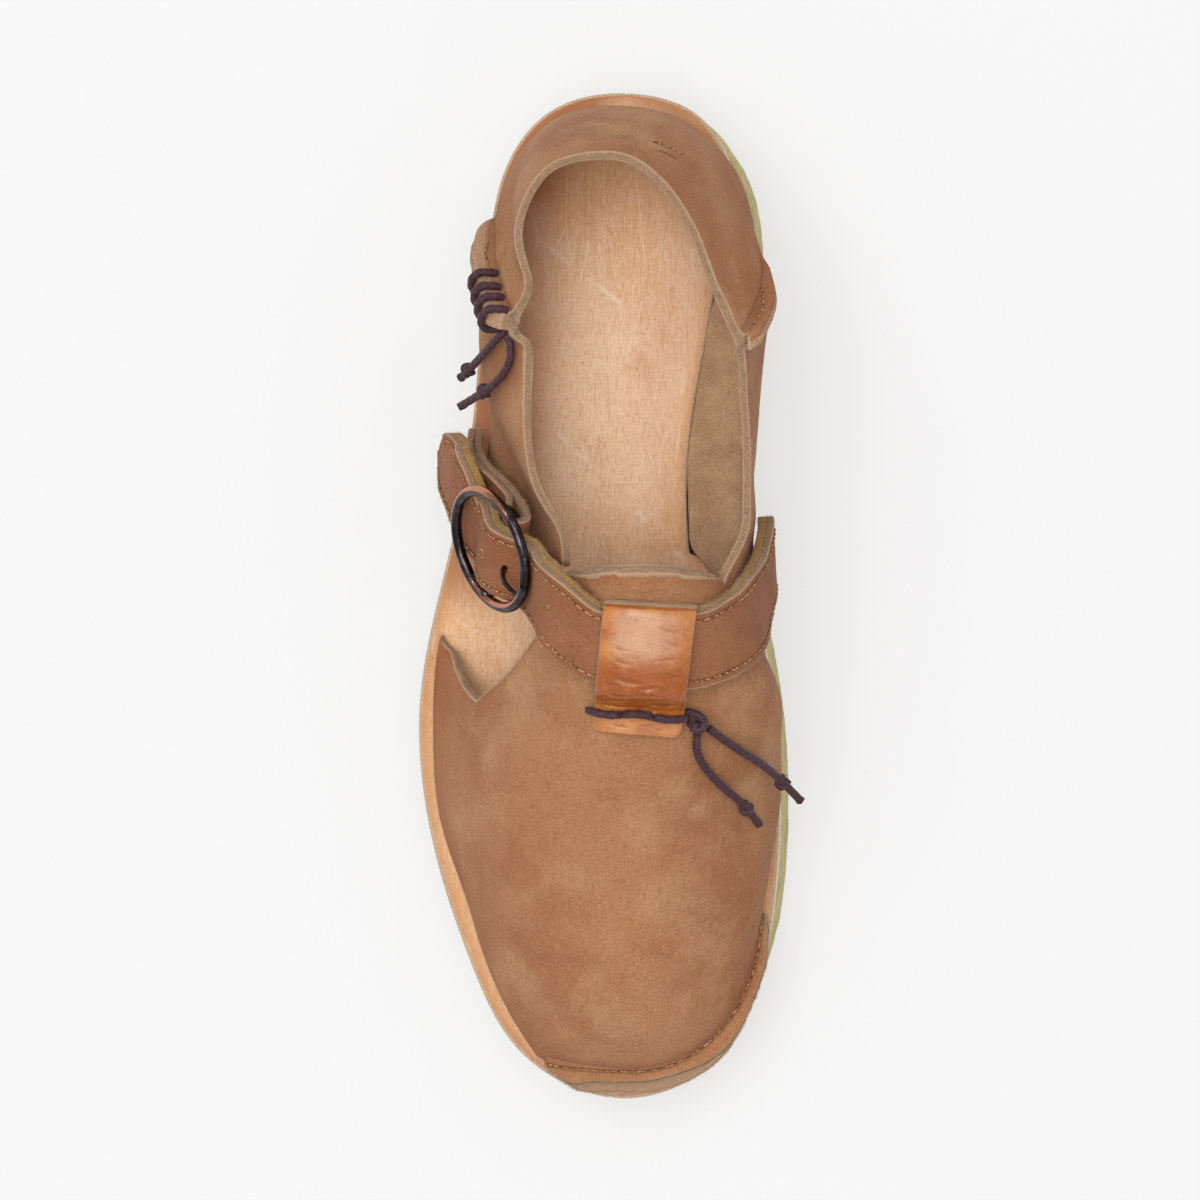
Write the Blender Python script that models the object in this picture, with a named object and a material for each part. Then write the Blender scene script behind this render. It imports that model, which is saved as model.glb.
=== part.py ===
"""A right foot's leather sandal with a closed toe, a heel and an instep strap, as separate solids.

Tables are in millimetres. +X is the inner side of the foot, -Y the toe, +Z up, and the shoe stands on
Z = 0 with the middle of its sole at the origin. Meshes are made in metres.
"""

import math

import bpy
import numpy as np
from mathutils import Vector
from mathutils.bvhtree import BVHTree

MM = 0.001
GAP = 0.35  # between pieces that lie on each other
LEATHER = 2.6
FOOTBED = 4.0
MIDSOLE = 2.0
STRAP_WIDTH = 21.0
STRAP_THICKNESS = 4.6  # two layers
CORD = 2.2

# Outline of the footbed, from the back of the heel along the inner side to the toe and back: x, y
OUTLINE = [
    (8, 141.5), (28, 135.5), (39.5, 121.5), (44.3, 101), (43.4, 80), (40.8, 58), (39.4, 36), (41.6, 14),
    (46.2, -12), (49.8, -38), (50.6, -62), (48.9, -86), (44.4, -108), (35.5, -126), (22, -136.2),
    (7, -139.5), (-9, -135.8), (-23.5, -125.5), (-36.2, -102.5), (-44.7, -78), (-50, -52), (-50.6, -28),
    (-46.4, -4), (-40.5, 20), (-36, 44), (-33.4, 70), (-30.6, 98), (-26, 120.5), (-14, 136.2)]
# Side view of the sole: y, footbed's top, outsole's underside
SOLE_SIDE = [
    (-145, 26.5, 10.0), (-130, 23.2, 5.2), (-110, 20.6, 1.8), (-90, 19.8, 0.5), (-70, 19.8, 0.0),
    (-30, 21.2, 0.0), (10, 24.0, 0.0), (50, 26.6, 0.0), (100, 28.0, 0.0), (145, 28.5, 0.0)]
FLAT_UNTIL = -74.0  # forward of this the underside rises
# Where the footbed is cut in along the arch, so that the upper passes outside it: y, inset
ARCH_CUT = [(105, 0.0), (98.5, 9.0), (86, 12.6), (70, 13.6), (43, 15.4), (15.5, 17.4), (9.5, 5.8), (5.5, 0.0)]

# Quarters and heel, a row for each rib from the outer front edge round the heel to the inner front:
# outline share, foot inset, share of the footbed that the foot is sunk, knee inset, knee height, belly,
# collar x, y, z
QUARTER = [
    (0.786, 7.6, 0, 8.0, 9.0, -1.5, -6.7, 10.0, 68.0),
    (0.806, 7.2, 0, 7.4, 9.0, -1.5, -8.3, 19.9, 69.0),
    (0.826, 6.4, 0, 6.6, 9.0, -0.5, -13.7, 29.5, 70.0),
    (0.848, 3.4, 0, 3.2, 9.0, 2.0, -17.2, 45.0, 70.0),
    (0.870, 1.9, 0, 1.5, 9.0, 3.2, -16.9, 62.0, 70.0),
    (0.890, 2.0, 0, 1.6, 9.0, 3.4, -18.0, 69.5, 70.3),
    (0.908, 2.6, 0, 3.0, 9.0, 1.4, -20.5, 75.0, 70.5),
    (0.920, 2.8, 0, 3.2, 9.0, 1.6, -17.4, 82.0, 71.5),
    (0.935, 3.4, 0, 3.8, 9.0, 1.2, -17.2, 89.5, 73.0),
    (0.950, 4.2, 0, 4.6, 9.0, 1.4, -18.7, 99.5, 75.5),
    (0.966, 4.8, 0, 5.0, 9.0, 2.0, -13.6, 112.0, 78.0),
    (0.983, 5.6, 0, 6.0, 9.0, 2.0, -5.5, 117.5, 79.7),
    (1.000, 5.8, 0, 6.4, 9.0, 2.0, 3.5, 118.8, 80.0),
    (1.020, 5.6, 0, 6.2, 9.0, 2.0, 12.5, 117.2, 80.0),
    (1.040, 5.0, 0, 5.4, 9.0, 2.0, 21.0, 110.5, 79.0),
    (1.056, 3.8, 0, 4.2, 9.0, 2.0, 26.8, 102.5, 77.0),
    (1.071, 2.6, 0, 3.0, 9.0, 2.4, 31.2, 93.0, 75.0),
    (1.083, 2.2, 0, 2.2, 9.0, 3.2, 35.5, 80.8, 72.7),
    (1.093, 2.4, 0.0, 1.8, 9.0, 3.6, 40.3, 69.0, 71.0),
    (1.098, 4.6, 0.0, 1.6, 7.0, 3.4, 40.7, 67.0, 70.7),
    (1.104, 7.0, 1.0, 1.4, 4.5, 3.0, 41.0, 64.5, 70.5),
    (1.120, 11.0, 1.0, 1.0, 1.8, 2.2, 41.3, 58.0, 70.1),
    (1.145, 12.6, 1.0, 0.7, 1.5, 1.8, 41.8, 49.0, 69.8),
    (1.170, 13.6, 1.0, 0.4, 1.4, 1.8, 42.2, 39.5, 69.2),
    (1.198, 14.4, 1.0, 0.6, 1.4, 1.2, 42.2, 27.0, 68.7),
    (1.212, 14.8, 1.0, 0.8, 1.6, 1.0, 42.1, 20.5, 68.5),
    (1.222, 14.6, -0.10, 1.2, 3.0, 0.8, 41.9, 16.0, 68.3),
    (1.234, 10.0, -0.35, 1.8, 5.0, 0.8, 41.6, 11.0, 68.1),
    (1.255, 3.0, -0.15, 2.8, 9.0, 0.8, 40.8, 3.0, 68.0)]
# Vamp and tongue, a row for each section from the tongue's edge to the toe seam:
# ridge x, y, z, inner base x, y, outer base x, y, inner slope, outer slope, inner belly, outer dip
VAMP = [
    (14.0, 7.3, 87.0, 42.2, -4.0, -43.2, -5.0, 0.45, 1.00, 0.6, 18.0),
    (14.0, -10.0, 80.5, 44.8, -14.0, -44.8, -17.0, 0.45, 0.96, 0.8, 10.0),
    (13.5, -28.0, 73.5, 47.8, -26.0, -45.6, -31.0, 0.46, 0.86, 4.6, 5.0),
    (12.5, -47.0, 66.5, 48.6, -38.0, -45.4, -47.0, 0.47, 0.72, 3.0, 2.0),
    (11.5, -67.0, 59.0, 48.4, -50.0, -43.0, -64.0, 0.48, 0.62, 2.8, 0.5),
    (10.5, -87.0, 53.5, 47.6, -61.0, -36.8, -82.0, 0.48, 0.56, 2.0, 0.0),
    (10.0, -104.0, 47.5, 46.4, -70.0, -32.0, -97.0, 0.47, 0.52, 1.2, 0.0),
    (10.0, -118.0, 40.5, 45.2, -77.0, -26.5, -110.0, 0.46, 0.50, 0.5, 0.0),
    (10.0, -126.5, 33.0, 44.6, -81.5, -21.0, -119.6, 0.45, 0.48, 0.0, 0.0),
    (10.0, -130.2, 26.6, 44.4, -84.5, -16.6, -126.6, 0.45, 0.46, 0.0, 0.0)]
# The outer opening, between tongue and sole: row of the vamp, angle of the tongue's edge from the ridge
TONGUE_EDGE = [(0.0, 20.5), (0.5, 24.5), (1.0, 31.0), (1.5, 40.0), (1.85, 50.5)]
WING_EDGE = [(0.45, 68.0), (1.0, 63.0), (1.5, 57.0), (1.85, 50.5)]
WING_SLANT = 0.45  # rows by which the wing's inner corner is lower than its foot
QUARTER_LEVELS = 9
QUARTER_RIBS = 52
LEAN_LIFT = 0.04  # of the dip, by which a leaning wall's foot is raised off the footbed
TONGUE_SIDE = 7
RIDGE_SIDE = 6
WING_SIDE = 4

# Seams that stand proud of the wall
SEAM_THICKNESS = 5.0
SEAM_DEPTH = 5.8
OUTER_SEAM = 0.908
INNER_SEAM = 1.093
TOE_SEAM_DEPTH = 5.6
SEAM_STANDS = ((0.0, 0.38, 0.6, 1.0), (0.02, 0.05, 1.0, 1.0))  # levels from the foot, shares of the depth

# Middle of the strap's inner face where it leaves the inner side of the sole: x, y, z
STRAP_RISE = [(44.8, 13.5, 27.2), (45.0, 9.5, 36.0)]
# and of its outer face where it lies on the upper
STRAP_LAID = [
    (46.0, 2.5, 49.0), (46.0, -3.5, 61.0), (40.1, -10.0, 74.0), (34.4, -13.0, 80.0), (28.0, -14.2, 83.0),
    (14.0, -14.0, 84.0), (2.7, -11.0, 81.0)]
# and of its inner face between the upper and the ring, with the way that it faces
STRAP_FREE = [(-7.1, -1.6, 77.0, -0.42, -0.50, 0.76)]
# and through the ring: along the strap and out from the middle of the ring
STRAP_BUCKLED = [(-15.5, -9.0), (-8.0, -7.5), (0.0, -3.4), (8.0, -7.6), (15.5, -8.8)]
STRAP_LOW = 2.5  # the strap sits this far to one side of the ring's middle
# and of its free end, with the way that it faces
STRAP_END = [
    (-31.9, 26.6, 51.5, -0.86, -0.20, 0.47), (-34.2, 34.0, 45.5, -0.84, -0.20, 0.50),
    (-36.2, 41.0, 40.5, -0.84, -0.18, 0.50), (-37.2, 43.6, 38.6, -0.84, -0.18, 0.50)]
# The ring: its middle, the direction that it faces and the direction of the strap through it
RING_CENTRE = np.array((-26.9, 13.7, 66.3))
RING_FACING = np.array((-0.781, -0.295, 0.55))
STRAP_THROUGH = np.array((-0.607, 0.565, -0.559))
RING_RADIUS = 16.2
RING_WIRE = 1.8
BAR_DROP = 7.6
BAR_RADIUS = 1.5
PRONG_RADIUS = 0.95
PRONG_LOW = 2.0  # the prong sits this far to one side of the ring's middle
PRONG_PIN = [(-4.6, -3.6), (-8.0, 1.2), (-11.8, 3.2), (-16.8, 3.2)]  # along the strap and out from the ring
CHAPE_WIDTH = 19.0
CHAPE_LAYER = 2.0
CHAPE_PATH = [(-22.8, 23.2, 53.4), (-29.6, 32.0, 42.0), (-34.9, 39.5, 30.0)]
CHAPE_FACING = (-0.94, -0.02, 0.34)  # at its foot
# The keeper: its four corners seen from above, x, y, and at shares of its length its height off the upper
KEEPER_TOP = ((5.0, 0.2), (29.2, -1.3))
KEEPER_FOOT = ((1.0, -34.4), (24.6, -36.4))
KEEPER_OFF = [
    (0.00, 0.7), (0.01, 3.8), (0.035, 6.3), (0.09, 7.1), (0.30, 7.1), (0.50, 7.0), (0.66, 6.7), (0.71, 5.6),
    (0.75, 3.0), (0.79, 1.2), (0.86, 0.5), (1.00, 0.5)]
KEEPER_THICKNESS = 2.0
LACING_SHARE = 0.87  # of the keeper's length, where the cord crosses it
LASH_LEVELS = (0.64, 0.685, 0.73, 0.775, 0.82, 0.865, 0.91)  # up the outer seam; a turn of cord at every other
KNOT = (2.6, 2.3, 1.9)  # half its size each way
# Loose ends of the cords: x, y, z
KEEPER_KNOT = (29.4, -32.5, 71.5)
KEEPER_TAIL_A = [(32.0, -34.5, 68.9), (38.2, -39.3, 62.0), (44.9, -43.9, 53.2), (50.5, -48.9, 44.0), (56.5, -55.4, 37.0)]
KEEPER_TAIL_B = [
    (29.0, -35.9, 70.0), (28.8, -40.2, 68.4), (31.0, -45.2, 65.2), (35.2, -50.2, 60.4), (41.0, -55.7, 53.2),
    (45.2, -61.4, 46.8)]
LASH_TAIL_A = [(-24.6, 71.0, 66.0), (-27.2, 68.9, 61.8), (-31.6, 65.4, 52.5), (-37.0, 61.4, 43.0)]
LASH_TAIL_B = [
    (-21.9, 70.4, 69.6), (-21.2, 67.0, 69.8), (-22.2, 62.8, 68.0), (-25.6, 58.9, 63.6), (-31.0, 56.0, 54.0),
    (-36.8, 53.4, 45.0)]


def spline(knots, values, at):
    """A natural cubic spline through values, one row for each knot, read at the points at."""
    knots = np.asarray(knots, float)
    values = np.asarray(values, float).reshape(len(knots), -1)
    step = np.diff(knots)
    count = len(knots)
    matrix = np.eye(count)
    change = np.zeros_like(values)
    for i in range(1, count - 1):
        matrix[i, i - 1 : i + 2] = step[i - 1], 2 * (step[i - 1] + step[i]), step[i]
        after = (values[i + 1] - values[i]) / step[i]
        before = (values[i] - values[i - 1]) / step[i - 1]
        change[i] = 6 * (after - before)
    bend = np.linalg.solve(matrix, change)
    at = np.clip(np.atleast_1d(np.asarray(at, float)), knots[0], knots[-1])
    i = np.clip(np.searchsorted(knots, at, side="right") - 1, 0, count - 2)
    width = step[i][:, None]
    a = (knots[i + 1] - at)[:, None] / width
    b = 1 - a
    curve = ((a**3 - a) * bend[i] + (b**3 - b) * bend[i + 1]) * width**2 / 6
    return a * values[i] + b * values[i + 1] + curve


def lengths(points):
    """The share of the whole length at each point of a line."""
    points = np.asarray(points, float)
    run = np.concatenate([[0], np.cumsum(np.linalg.norm(np.diff(points, axis=0), axis=1))])
    return run / run[-1]


def through(points, shares):
    """Points at these shares of the length of a smooth curve through points."""
    return spline(lengths(points), points, shares)


def unit(vector):
    vector = np.asarray(vector, float)
    return vector / np.linalg.norm(vector, axis=-1, keepdims=True)


def smooth_ring(points, count=1200, overlap=4):
    """The closed outline as count evenly spaced points, and the outward direction at each."""
    points = np.asarray(points, float)
    ring = np.concatenate([points[-overlap:], points, points[: overlap + 1]])
    run = np.concatenate([[0], np.cumsum(np.linalg.norm(np.diff(ring, axis=0), axis=1))])
    fine = spline(run, ring, np.linspace(run[overlap], run[overlap + len(points)], 4 * count))
    length = np.concatenate([[0], np.cumsum(np.linalg.norm(np.diff(fine, axis=0), axis=1))])
    even = np.linspace(0, length[-1], count + 1)[:-1]
    ring = np.stack([np.interp(even, length, fine[:, axis]) for axis in (0, 1)], 1)
    along = unit(np.roll(ring, -1, 0) - np.roll(ring, 1, 0))
    return ring, np.stack([-along[:, 1], along[:, 0]], 1)


RING, OUTWARD = smooth_ring(OUTLINE)
BAR_UP = np.cross(STRAP_THROUGH, RING_FACING)


def edge(share, inset=0.0):
    """The point inset from the footbed's outline at this share of its length, and outward there."""
    share = np.atleast_1d(np.asarray(share, float)) % 1.0
    place = share * len(RING)
    low = np.floor(place).astype(int) % len(RING)
    high = (low + 1) % len(RING)
    part = (place - np.floor(place))[:, None]
    outward = unit(OUTWARD[low] * (1 - part) + OUTWARD[high] * part)
    point = RING[low] * (1 - part) + RING[high] * part
    return point - outward * np.broadcast_to(inset, len(share))[:, None], outward


def footbed_top(y):
    side = np.array(SOLE_SIDE)
    return spline(side[:, 0], side[:, 1], y)[:, 0]


def underside(y):
    side = np.array(SOLE_SIDE)
    rise = np.interp(y, side[:, 0], side[:, 2])
    return np.where(np.asarray(y) > FLAT_UNTIL, 0.0, rise)


def material(name, colour, roughness, metallic=0.0):
    made = bpy.data.materials.new(name)
    made.use_nodes = True
    shader = made.node_tree.nodes["Principled BSDF"]
    shader.inputs["Base Color"].default_value = (*colour, 1)
    shader.inputs["Roughness"].default_value = roughness
    shader.inputs["Metallic"].default_value = metallic
    return made


def mesh_object(name, points, faces, finish=None, helper=False):
    """An object with this mesh, from points in millimetres. A helper is left out of the part."""
    mesh = bpy.data.meshes.new(name)
    mesh.from_pydata([tuple(point) for point in np.asarray(points, float) * MM], [], faces)
    mesh.update()
    made = bpy.data.objects.new(name, mesh)
    bpy.context.scene.collection.objects.link(made)
    if finish:
        mesh.materials.append(finish)
    if helper:
        made.hide_render = True
        made.display_type = "WIRE"
    mesh.shade_smooth()
    mesh.set_sharp_from_angle(angle=math.radians(40))
    return made


def face_out(made):
    """Turn every face of a closed mesh to point out."""
    mesh = made.data
    mesh.calc_loop_triangles()
    corners = np.array([[mesh.vertices[v].co for v in face.vertices] for face in mesh.loop_triangles])
    if np.linalg.det(corners).sum() < 0:
        mesh.flip_normals()


def loft(name, sections, finish=None, helper=False):
    """A closed solid over sections, each a loop of the same number of points."""
    sections = np.asarray(sections, float)
    count, corners = sections.shape[:2]
    faces = []
    for i in range(count - 1):
        for j in range(corners):
            k = (j + 1) % corners
            faces.append((i * corners + j, i * corners + k, (i + 1) * corners + k, (i + 1) * corners + j))
    faces.append(tuple(range(corners))[::-1])
    faces.append(tuple((count - 1) * corners + j for j in range(corners)))
    made = mesh_object(name, sections.reshape(-1, 3), faces, finish, helper)
    face_out(made)
    return made


def join(made, other):
    """A Boolean union of a helper into made."""
    added = made.modifiers.new(other.name, "BOOLEAN")
    added.operation = "UNION"
    added.object = other
    return added


def cut(made, other):
    """A Boolean difference of a helper from made."""
    hole = made.modifiers.new(other.name, "BOOLEAN")
    hole.operation = "DIFFERENCE"
    hole.object = other
    return hole


def sole_plate(name, finish, lower, upper, flare=0.0, cut_in=None):
    """A layer of the sole between two heights, each a function of y, as rungs from heel to toe.

    flare widens the lower edge: a number for the heel and one for the forefoot."""
    rungs = 46
    turn = np.linspace(0, math.pi, rungs + 1)
    share = 0.5 * (turn / math.pi - 0.35 * np.sin(2 * turn) / (2 * math.pi))
    share = share[1:-1]
    if cut_in is not None:
        extra = [s for s in (0.0875, 0.0935, 0.0995, 0.2245, 0.2335, 0.241) if np.abs(share - s).min() > 0.002]
        share = np.sort(np.concatenate([share, extra]))
    sections = []
    for s in share:
        section = []
        for side, sign in ((s, 1), (1 - s, -1)):
            top = edge(side)[0][0]
            if cut_in is not None and sign > 0:
                inset = np.interp(-top[1], [-row[0] for row in cut_in], [row[1] for row in cut_in])
                top = edge(side, inset)[0][0]
            wide = np.interp(top[1], (-40.0, 40.0), (flare[1], flare[0])) if flare else 0.0
            low = edge(side, -wide)[0][0] if wide else top
            section.append((np.array([*top, upper(top[1])[0]]), np.array([*low, lower(low[1])[0]])))
        (inner_top, inner_low), (outer_top, outer_low) = section
        sections.append([inner_top, outer_top, outer_low, inner_low])
    return loft(name, sections, finish)


def rib(row, levels):
    """One rib of the quarter from its foot to the collar, at these levels from 0 to 1."""
    share, foot_in, sunk, knee_in, knee_up, belly, x, y, z = row
    foot, outward = edge(share, foot_in)
    knee = edge(share, knee_in)[0][0]
    ground = footbed_top(foot[:, 1])[0]
    foot_z = ground + GAP + 0.25 - np.clip(sunk, -0.4, 1) * (FOOTBED - LEATHER / 2)
    foot = np.array([*foot[0], foot_z])
    knee = np.array([*knee, foot_z + knee_up])
    collar = np.array([x, y, z])
    middle = (knee + collar) / 2 + np.array([*outward[0], 0.25]) * belly
    return through([foot, knee, middle, collar], levels)


def quarter_grid(ribs, levels):
    """Points [rib, level] of the quarters and heel."""
    table = np.array(QUARTER)
    place = np.linspace(table[0, 0], table[-1, 0], ribs)
    rows = spline(table[:, 0], table, place)
    rows[:, 0] = place
    return np.array([rib(row, np.linspace(0, 1, levels)) for row in rows])


def vamp_point(row, angle):
    """The vamp at this row, and at this angle from its ridge in degrees, positive to the inner side."""
    table = np.array(VAMP)
    rx, ry, rz, ix, iy, ox, oy, inner, outer, belly, dip = spline(range(len(table)), table, row)[0]
    across = math.sin(math.radians(abs(angle)))
    slope, x, y = (inner, ix, iy) if angle > 0 else (outer, ox, oy)
    up = max(1e-9, 1 - across * across) ** slope
    base = footbed_top(y)[0] + GAP + 0.25
    z = base + (rz - base) * up
    if angle > 0:
        x += belly * math.sin(math.pi * up)
    else:
        z += (LEAN_LIFT * (1 - up) - math.sin(2 * math.radians(abs(angle))) ** 2) * dip
    return np.array([rx + (x - rx) * across, y + (ry - y) * up, z])


def upper_sheet(ribs, levels, rows):
    """The middle of the upper's wall: points and faces. The vamp shares the quarter's last rib."""
    seam_angle = 48.4
    quarter = quarter_grid(ribs, levels)
    last = np.array([vamp_point(0, a) for a in np.linspace(90, seam_angle, levels)])
    shift = last - quarter[-1]
    for i in range(ribs):
        weight = np.clip((i / (ribs - 1) - 0.90) / 0.10, 0, 1)
        quarter[i] += shift * weight * weight * (3 - 2 * weight)
    points = list(quarter.reshape(-1, 3))
    faces = []
    for i in range(ribs - 1):
        for j in range(levels - 1):
            a = i * levels + j
            faces.append((a, a + levels, a + levels + 1, a + 1))
    tongue = np.array(TONGUE_EDGE)
    wing = np.array(WING_EDGE)
    notch = tongue[-1, 0]
    before = None
    for row in rows:
        angle = -spline(tongue[:, 0], tongue[:, 1], row)[0, 0]
        side = list(np.linspace(90, seam_angle, levels))
        side += list(np.linspace(seam_angle, 0, RIDGE_SIDE + 1)[1:])
        side += list(np.linspace(0, angle, TONGUE_SIDE + 1)[1:])
        line = []
        for number, a in enumerate(side):
            if row == 0 and number < levels:
                line.append((ribs - 1) * levels + number)
                continue
            line.append(len(points))
            points.append(vamp_point(row, a))
        low = []
        if row >= wing[0, 0]:
            start = -np.interp(row, wing[:, 0], wing[:, 1])
            turn = list(np.linspace(start, -90, WING_SIDE + 1))
            for number, a in enumerate(turn):
                if number == 0 and row >= notch:
                    low.append(line[-1])
                    continue
                low.append(len(points))
                level = np.clip((notch - row) / (notch - wing[0, 0]), 0, 1)
                points.append(vamp_point(row + WING_SLANT * level * (90 + a) / (90 + start), a))
        for old, new in ((before[0], line), (before[1], low)) if before else ():
            for j in range(min(len(old), len(new)) - 1):
                faces.append((old[j], new[j], new[j + 1], old[j + 1]))
        before = (line, low)
    return np.array(points), faces


VAMP_ROWS = [0, 0.2, 0.45, 0.75, 1.05, 1.35, 1.6, 1.85, 2.2, 2.6, 3, 3.5, 4, 4.5, 5, 5.5, 6, 6.5, 7, 7.4, 7.8,
             8.15, 8.45, 8.75, 9]


def seam_frames(share, levels):
    """Along a rib of the quarter: places on the wall's middle, ways along it and out from it, the seam's depth."""
    table = np.array(QUARTER)
    row = spline(table[:, 0], table, share)[0]
    row[0] = share
    line = rib(row, levels)
    along = unit(np.gradient(rib(row, np.linspace(0, 1, 41)), axis=0))
    along = unit(np.stack([np.interp(levels, np.linspace(0, 1, 41), along[:, axis]) for axis in range(3)], 1))
    flat = np.array([*edge(share)[1][0], 0.0])
    side = unit(np.cross(flat, along))
    out = unit(np.cross(along, side))
    out = out if out[0] @ flat > 0 else -out
    return line, along, side, out, SEAM_DEPTH * np.interp(levels, *SEAM_STANDS)


def seam_fin(name, share):
    """A standing seam down a rib of the quarter, as a helper."""
    line, along, side, out, depth = seam_frames(share, np.linspace(0, 1, 19))
    half = SEAM_THICKNESS / 2
    inner = line + out * 0.2
    outer = line + out * (LEATHER / 2 + depth)[:, None]
    inner[0, 2] = outer[0, 2] = line[0, 2] + 0.8
    inner[-1] -= along[-1] * 0.6
    outer[-1] -= along[-1] * 1.2
    sections = np.stack([inner - side * half, outer - side * half, outer + side * half, inner + side * half], 1)
    return loft(name, sections, helper=True)


def toe_fin(name):
    """The turned-out toe seam, as a helper: two layers that lie just above the footbed."""
    angles = np.linspace(86, -66, 33)
    line = np.array([vamp_point(9, a) for a in angles])
    along = unit(np.gradient(line, axis=0) * (1, 1, 0))
    out = np.stack([along[:, 1], -along[:, 0], 0 * along[:, 0]], 1)
    if out[16, 1] > 0:
        out = -out
    inner = line - out * 0.9
    taper = np.interp(angles, (angles[-1], angles[-1] + 16, angles[0] - 14, angles[0]), (0.5, 1, 1, 0.7))
    outer = line + out * TOE_SEAM_DEPTH * taper[:, None]
    ground = footbed_top(line[:, 1])
    low = ground + GAP + 0.25
    low[0] += 0.1
    high = ground + GAP + 0.25 + 2 * LEATHER
    sections = []
    for i in range(len(line)):
        a, b = inner[i], outer[i]
        tip = footbed_top(b[1])[0] + GAP + 0.25
        sections.append([
            (a[0], a[1], low[i]), (b[0], b[1], tip), (b[0], b[1], tip + 2 * LEATHER - 0.4), (a[0], a[1], high[i])])
    return loft(name, sections, helper=True)


def make_upper(finish):
    points, faces = upper_sheet(QUARTER_RIBS, QUARTER_LEVELS, VAMP_ROWS)
    upper = mesh_object("upper", points, faces, finish)
    wall = upper.modifiers.new("wall", "SOLIDIFY")
    wall.thickness = LEATHER * MM
    wall.offset = 0
    wall.use_even_offset = True
    wall.use_quality_normals = True
    for fin in (seam_fin("outer_seam", OUTER_SEAM), seam_fin("inner_seam", INNER_SEAM), toe_fin("toe_seam")):
        join(upper, fin)
    return upper


def surface_of(*objects):
    """A tree of the objects' evaluated surfaces, in millimetres."""
    bpy.context.view_layer.update()
    corners, polygons = [], []
    for made in objects:
        evaluated = made.evaluated_get(bpy.context.evaluated_depsgraph_get())
        mesh = evaluated.to_mesh()
        start = len(corners)
        corners += [vertex.co / MM for vertex in mesh.vertices]
        polygons += [tuple(start + v for v in face.vertices) for face in mesh.polygons]
        evaluated.to_mesh_clear()
    return BVHTree.FromPolygons(corners, polygons)


def clear_of(tree, middle, out, wide, half):
    """The steps of a band, moved out where its inner face would come within GAP of a surface."""
    need = np.zeros(len(middle))
    reach = 9.0
    for i, (place, way, across) in enumerate(zip(middle, out, wide)):
        for part in np.linspace(-half, half, 7):
            start = place + across * part + way * reach
            hit = tree.ray_cast(Vector(start), Vector(-way), reach + 5)
            if hit[0]:
                need[i] = max(need[i], hit_depth(hit[3], reach))
    padded = np.pad(need, 2, mode="edge")
    widest = np.array([padded[i : i + 5].max() for i in range(len(need))])
    padded = np.pad(widest, 1, mode="edge")
    even = (padded[:-2] + padded[1:-1] + padded[2:]) / 3
    return middle + out * np.maximum(even, need)[:, None]


def hit_depth(distance, reach):
    """How far a face must move out, where a ray from reach above it met a surface at this distance."""
    return max(0.0, reach - distance + GAP + 0.1)


def at_ring(along, out, up=0.0):
    """A place measured from the middle of the ring, along the strap, out of the ring and up its bar."""
    return RING_CENTRE + STRAP_THROUGH * along + RING_FACING * out + BAR_UP * up


def strap_frames(tree, steps):
    """Middle of the strap's inner face, its outward normal and its width direction at each step."""
    middle = [np.array(place) for place in STRAP_RISE]
    out = [unit((1.0, 0.05, -0.05)), unit((1.0, 0.0, 0.1))]
    for place in STRAP_LAID:
        near, normal, _, _ = tree.find_nearest(Vector(place))
        middle.append(np.array(near) + np.array(normal) * (GAP + 0.45))
        out.append(np.array(normal))
    for row in STRAP_FREE:
        middle.append(np.array(row[:3]))
        out.append(unit(row[3:]))
    for along, away in STRAP_BUCKLED:
        middle.append(at_ring(along, away, -STRAP_LOW))
        out.append(unit(RING_FACING))
    for row in STRAP_END:
        middle.append(np.array(row[:3]))
        out.append(unit(row[3:]))
    shares = np.linspace(0, 1, steps)
    out = np.stack([np.interp(shares, lengths(middle), column) for column in np.array(out).T], 1)
    padded = np.pad(out, ((2, 2), (0, 0)), mode="edge")
    out = sum(padded[i : i + steps] for i in range(5)) / 5
    middle = through(middle, shares)
    along = unit(np.gradient(middle, axis=0))
    wide = unit(np.cross(out, along))
    return middle, unit(np.cross(along, wide)), wide


def make_strap(tree, under, finish):
    middle, out, wide = strap_frames(tree, 71)
    middle = clear_of(under, middle, out, wide, STRAP_WIDTH / 2)
    half = np.full(len(middle), STRAP_WIDTH / 2)
    half[-4:] *= (1.0, 0.95, 0.72, 0.45)
    sections = [
        [m + w * h, m - w * h, m - w * h + o * STRAP_THICKNESS, m + w * h + o * STRAP_THICKNESS]
        for m, o, w, h in zip(middle, out, wide, half)]
    return loft("strap", sections, finish)


def tube(name, points, radius, finish=None, sides=8, closed=False, helper=False):
    """A round bar along points, with flat ends or closed on itself."""
    points = np.asarray(points, float)
    if closed:
        along = unit(np.roll(points, -1, 0) - np.roll(points, 1, 0))
    else:
        along = unit(np.gradient(points, axis=0))
    side = unit(np.cross(along[0], (0.12, 0.23, 0.97)))
    turns = np.linspace(0, 2 * math.pi, sides, endpoint=False)
    sections = []
    for place, way in zip(points, along):
        side = unit(side - way * (side @ way))
        up = np.cross(way, side)
        sections.append([place + radius * (math.cos(t) * side + math.sin(t) * up) for t in turns])
    if not closed:
        return loft(name, sections, finish, helper)
    count = len(points)
    faces = []
    for i in range(count):
        n = (i + 1) % count
        for j in range(sides):
            k = (j + 1) % sides
            faces.append((i * sides + j, i * sides + k, n * sides + k, n * sides + j))
    made = mesh_object(name, np.array(sections).reshape(-1, 3), faces, finish, helper)
    face_out(made)
    return made


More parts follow.
